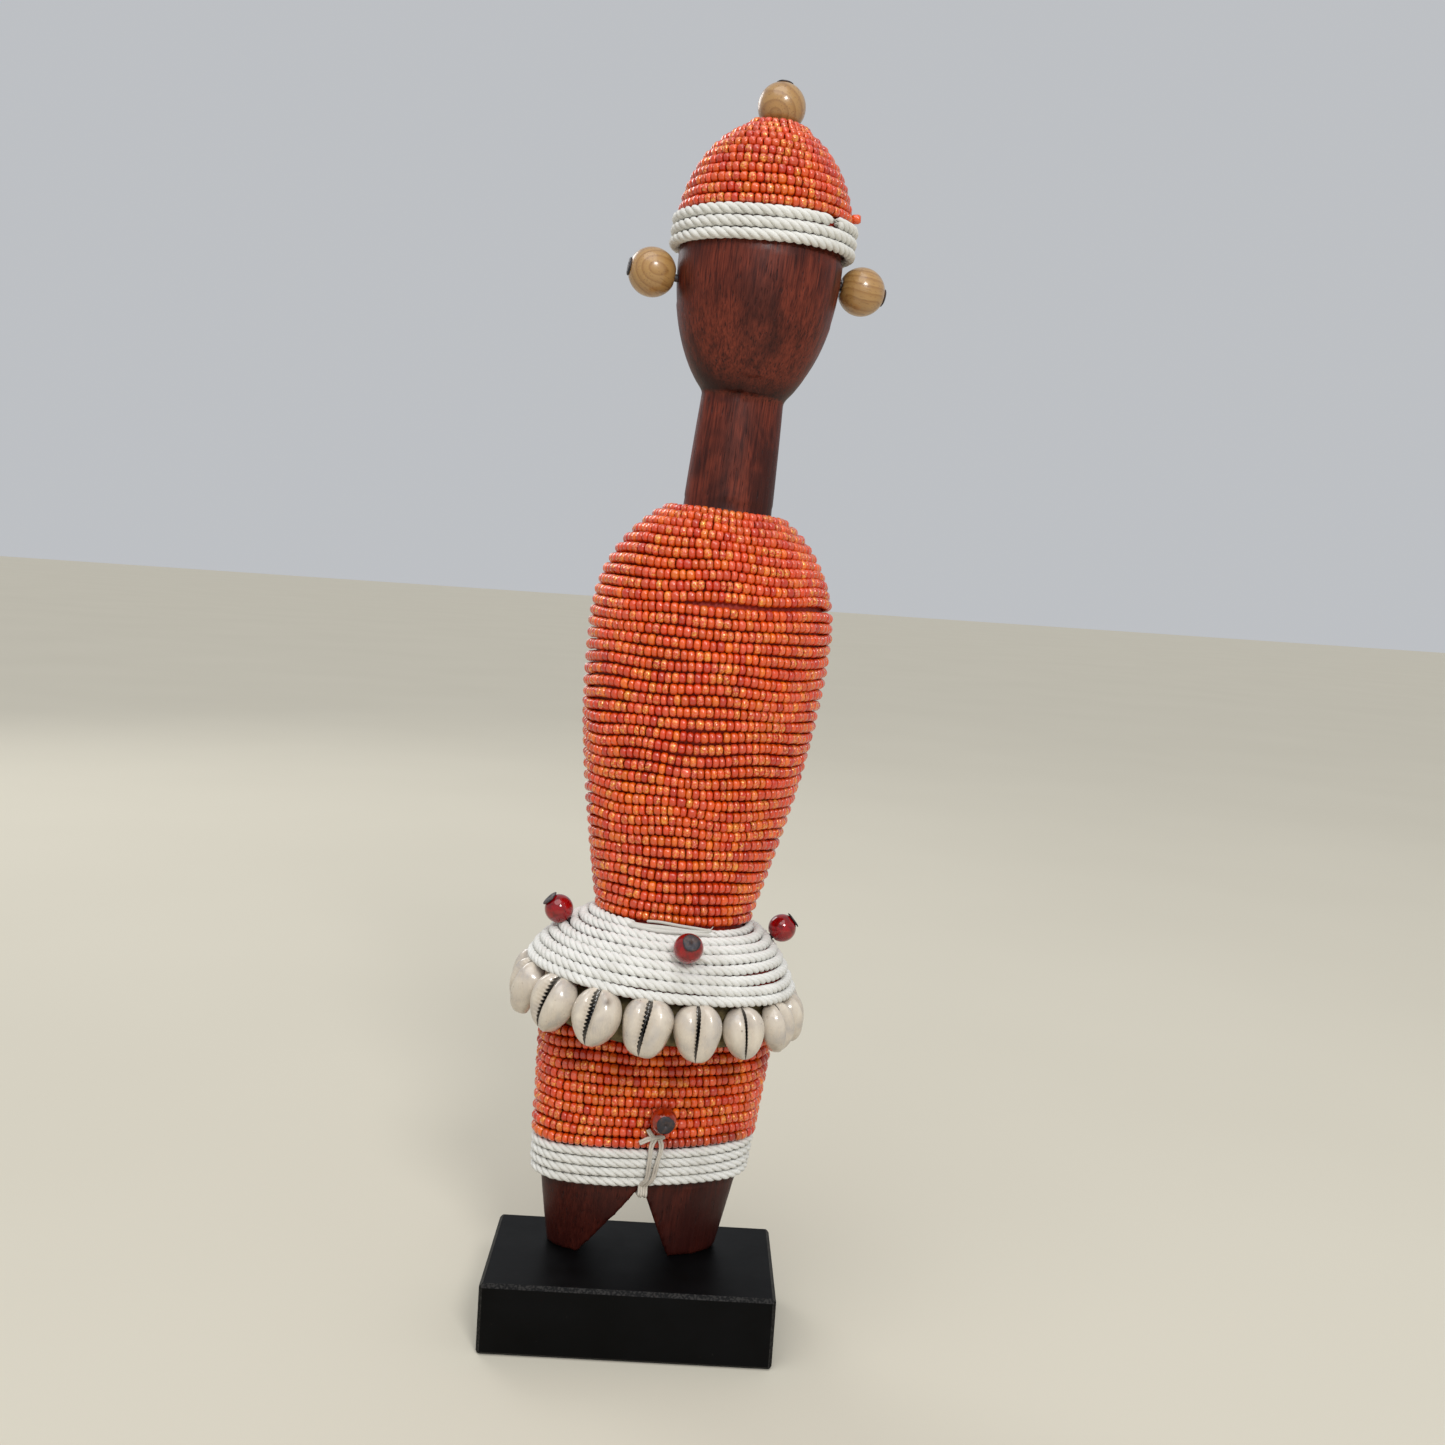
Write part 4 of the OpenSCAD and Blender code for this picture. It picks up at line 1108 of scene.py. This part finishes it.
SPOTS = {
    "crown": ((np.eye(3), np.array([0, 0, CROWN_S])), CROWN_D, BIG_NAIL),
    "ear_left": (at_ear(-1), EAR_D, BIG_NAIL),
    "ear_right": (at_ear(1), EAR_D, BIG_NAIL),
    "hip": ((rot_x(math.pi / 2), np.array([1.5, -HIP_BEAD_Y, HIP_BEAD_S])), HIP_BEAD_D, HIP_NAIL),
}
SPOTS.update({f"skirt_{side}": (at_skirt(90 * k), GLASS_D, SMALL_NAIL)
              for k, side in enumerate(("front", "right", "back", "left"))})
FINISH = {"hip": (AMBER, "amber_glass"), "skirt": (RED, "red_glass")}
GRAIN_SEED = {"crown": 0.9, "ear_left": 1.9, "ear_right": 2.6}


def bead_profile(d, bore):
    """Ball with flats at both ends, a drilled hole with softened rims."""
    r, tip = d / 2, math.asin(FLAT_SHARE)
    ball = [(r * math.cos(t), r * math.sin(t)) for t in np.linspace(-tip, tip, 34)]
    h = FLAT_SHARE * r
    rim = [(bore + 0.55, h), (bore + 0.22, h - 0.06), (bore + 0.03, h - 0.28)]
    hole = [(bore, h * f) for f in (0.7, 0.25, -0.25, -0.7)]
    return ball + rim + hole + [(x, -y) for x, y in rim[::-1]]


def nail_profile(nail, d):
    """Tip at the bottom, and a flat head with a soft rim that sits on the bead."""
    r, head, tall, bite = nail
    tall = tall * NAIL_HEAD_SHARE
    seat = FLAT_SHARE * d / 2 + 0.06
    length = seat + FLAT_SHARE * d / 2 + END_GAP + bite
    above = [(0.02, tall), (head * 0.45, tall - 0.02), (head * 0.8, tall - 0.06), (head - 0.3, tall - 0.16),
             (head - 0.06, tall * 0.55), (head, tall * 0.25), (head - 0.1, 0.03), (head * 0.7, 0.0),
             (r + 0.05, 0), (r, -0.4), (r, -length * 0.5), (r, 1.5 * r - length),
             (r * 0.45, 0.5 * r - length), (0.02, -length)]
    return [(x, seat + z) for x, z in above]


def nailed(spot):
    (turn, at), d, nail = SPOTS[spot]
    first, _, rest = spot.partition("_")        # ear_left has the nodes ear_bead_left and ear_nail_left
    node = "_".join(filter(None, (first, "bead", rest)))
    wooden = spot in GRAIN_SEED
    material, slot = FINISH.get(first, (TURNED, "varnished_wood"))
    points, faces = lathe(bead_profile(d, nail[0] + PLAY), 64 if wooden else 48, 0.004, 2)
    piece = new_piece("loose_bead_" + spot, points @ turn.T + at, faces, material, [node], node)
    if wooden:  # the grain runs across the hole, differently on each bead
        seed = GRAIN_SEED[spot]
        paint(piece, "grain", points @ rot_x(1.2 * seed).T @ rot_z(seed).T + [2.2 * seed, 1.5, 3 * seed])
    points, faces = lathe(nail_profile(nail, d), 40, 0.03, 3)
    new_piece("pin_" + spot, points @ turn.T + at, faces, IRON, [node.replace("bead", "nail")])


def smooth_route(points, count=60):
    """Catmull-Rom curve through the points."""
    p = np.asarray(points, float)
    p = np.concatenate([[2 * p[0] - p[1]], p, [2 * p[-1] - p[-2]]])
    out = []
    pieces = len(p) - 3
    per = max(2, count // pieces)
    for i in range(pieces):
        t = np.linspace(0, 1, per, endpoint=i == pieces - 1)[:, None]
        a, b, c, d = p[i:i + 4]
        bend, twist = 2 * a - 5 * b + 4 * c - d, 3 * b - a - 3 * c + d
        out.append(0.5 * (2 * b + (c - a) * t + bend * t ** 2 + twist * t ** 3))
    return np.concatenate(out)


THREAD_D = 1.3
THREAD_Y = HIP_FLAT * HIP_W + SEED_D + THREAD_D / 2 + 0.15
NOTCH_X, NOTCH_H = -0.9, 20.3


def thread_route(side):
    y, n = THREAD_Y, NOTCH_X
    near = n + side * 0.68
    return [(0.9 + side * 0.5, -y - 0.4, 38.1), (1 + side * 1.4, -y + 0.3, 35.2),
            (0.8 + side * 1.1, -y + 0.6, 30.4), (0.4 + side * 0.8, -y + 0.7, 25.8),
            (near, -y + 1.9, 23.3), (near, -13.0, NOTCH_H - 0.5), (near, 13.2, NOTCH_H - 1),
            (near, y - 1.2, 20.4), (n + side * 0.8, y, 23.4),
            (n + side * 0.8, y, 29), (n + side * 0.8, y, 34.4), (n + side * 0.5, y + 0.4, 36.8)]


def ribbon(points, width, thick, count):
    """A flattened waxed thread of two plies along the points."""
    line = smooth_route(points, count)
    u, v = crossways(unit(np.gradient(line, axis=0)), (0.3, 1.0, 0.0))
    far, taper = distances(line), np.ones(len(line))
    taper[[0, -1]] = 0.5
    parts = []
    for k in (-1, 1):
        shift = k * width * 0.24 * (1 + 0.2 * np.sin(far * 0.8))
        turn = 0.25 * np.sin(far * 0.55 + k)
        mid = line + shift[:, None] * (np.cos(turn)[:, None] * u + np.sin(turn)[:, None] * v)
        parts.append(tube(mid, u, v, width * 0.29 * taper, thick / 2 * taper, 10))
    return parts


def tie_thread():
    """Both strands, a small turn round them as a knot, and its flat tails."""
    y = THREAD_Y
    parts = ribbon(thread_route(-1), 1.25, 0.8, 150) + ribbon(thread_route(1), 1.25, 0.8, 150)
    ring = np.linspace(0, 2 * np.pi, 40)
    knot = np.stack([0.6 + 1.35 * np.sin(ring), -y + 0.1 - 0.62 * np.cos(ring),
                     37.8 + 0.7 * np.sin(ring + 0.8)], -1)
    parts.append(sweep(knot[:-1], 0.55, 10, across=(0.2, 0.1, 1.0), closed=True))
    parts += ribbon([(-3.9, -y + 0.15, 36.1), (-3.0, -y, 36.7), (-1.6, -y - 0.2, 37.5),
                     (0.6, -y - 0.35, 38.1)], 1.3, 0.6, 24)
    parts += ribbon([(-2.0, -y + 0.1, 40.2), (-1.4, -y - 0.1, 39.4), (-0.6, -y - 0.3, 38.5),
                     (0.8, -y - 0.3, 37.5)], 1.2, 0.6, 24)
    parts += ribbon([(2.9, -y + 0.1, 38.4), (2.2, -y - 0.15, 38.1), (1.0, -y - 0.35, 37.7)], 1.0, 0.55, 20)
    points, faces = merged(parts)
    piece = new_piece("thread_tie", points, faces, THREAD, ["tie_thread"])
    paint(piece, "deep", np.zeros(len(points)))


def cad_finishes():
    """Block and screws keep their CAD shapes and get their finishes."""
    for node, material in (("base_block", BLACK), ("base_screw_left", STEEL), ("base_screw_right", STEEL)):
        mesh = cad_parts[node].data
        mesh.materials.clear()
        mesh.materials.append(material)


# ---------- camera, light, floor ----------

CAMERA_AT, LIT_POINT, FLOOR_REACH = (0.00607, -0.39395, 0.21147), (0, 0, 0.17), 12.0


def camera():
    yaw, pitch, roll = 0.02399, -0.09808, 0.06741
    cam = bpy.data.cameras.new("camera")
    cam.sensor_width, cam.lens = 36.0, 36.125
    cam.clip_start, cam.clip_end = 0.01, 50
    holder = linked("camera", cam)
    ahead = Vector((math.sin(yaw) * math.cos(pitch), math.cos(yaw) * math.cos(pitch), math.sin(pitch)))
    side = Vector((math.cos(yaw), -math.sin(yaw), 0))
    over = side.cross(ahead)
    right = side * math.cos(roll) + over * math.sin(roll)
    up = over * math.cos(roll) - side * math.sin(roll)
    holder.matrix_world = Matrix((
        (right.x, up.x, -ahead.x, CAMERA_AT[0]), (right.y, up.y, -ahead.y, CAMERA_AT[1]),
        (right.z, up.z, -ahead.z, CAMERA_AT[2]), (0, 0, 0, 1)))
    bpy.context.scene.camera = holder


def area_light(name, at, size, power):
    light = bpy.data.lights.new(name, "AREA")
    light.shape, light.size, light.energy = "DISK", size, power
    holder = linked(name, light)
    holder.location = at
    holder.rotation_euler = (Vector(LIT_POINT) - Vector(at)).to_track_quat("-Z", "Y").to_euler()


def studio():
    floor, r = bpy.data.meshes.new("floor"), FLOOR_REACH
    floor.from_pydata([(-r, -r, 0), (r, -r, 0), (r, r, 0), (-r, r, 0)], [], [(0, 1, 2, 3)])
    k = Look("floor_cream", Roughness=0.9, Specular_IOR_Level=0.1)
    k.set("Base Color", k.mix(k.noise(k.place(), 0.004, 2.0, 0.5), srgb(206, 200, 184), srgb(200, 194, 178)))
    floor.materials.append(k.mat)
    holder = linked("floor", floor)
    world = bpy.data.worlds.new("studio")
    world.use_nodes = True
    sky = world.node_tree.nodes["Background"].inputs
    sky[0].default_value, sky[1].default_value = (0.64, 0.66, 0.69, 1), 0.80
    bpy.context.scene.world = world
    sun = bpy.data.lights.new("overhead", "SUN")
    sun.energy, sun.angle = 1.15, math.radians(50)
    linked("overhead", sun).rotation_euler = (math.radians(24), math.radians(-10), 0)
    area_light("key", (0.30, -0.95, 0.85), 0.30, 6.5)
    area_light("rim", (-0.7, 0.9, 0.8), 0.6, 3.0)
    bpy.context.scene.view_settings.view_transform = "Standard"


carved_figure()
leather_strip()
torso_beads()
hip_beads()
cap_beads()
skirt_cord()
hem_cord()
cap_cord()
for number in range(1, SHELLS + 1):
    cowrie(number)
for spot_name in SPOTS:
    nailed(spot_name)
tie_thread()
cad_finishes()
camera()
studio()
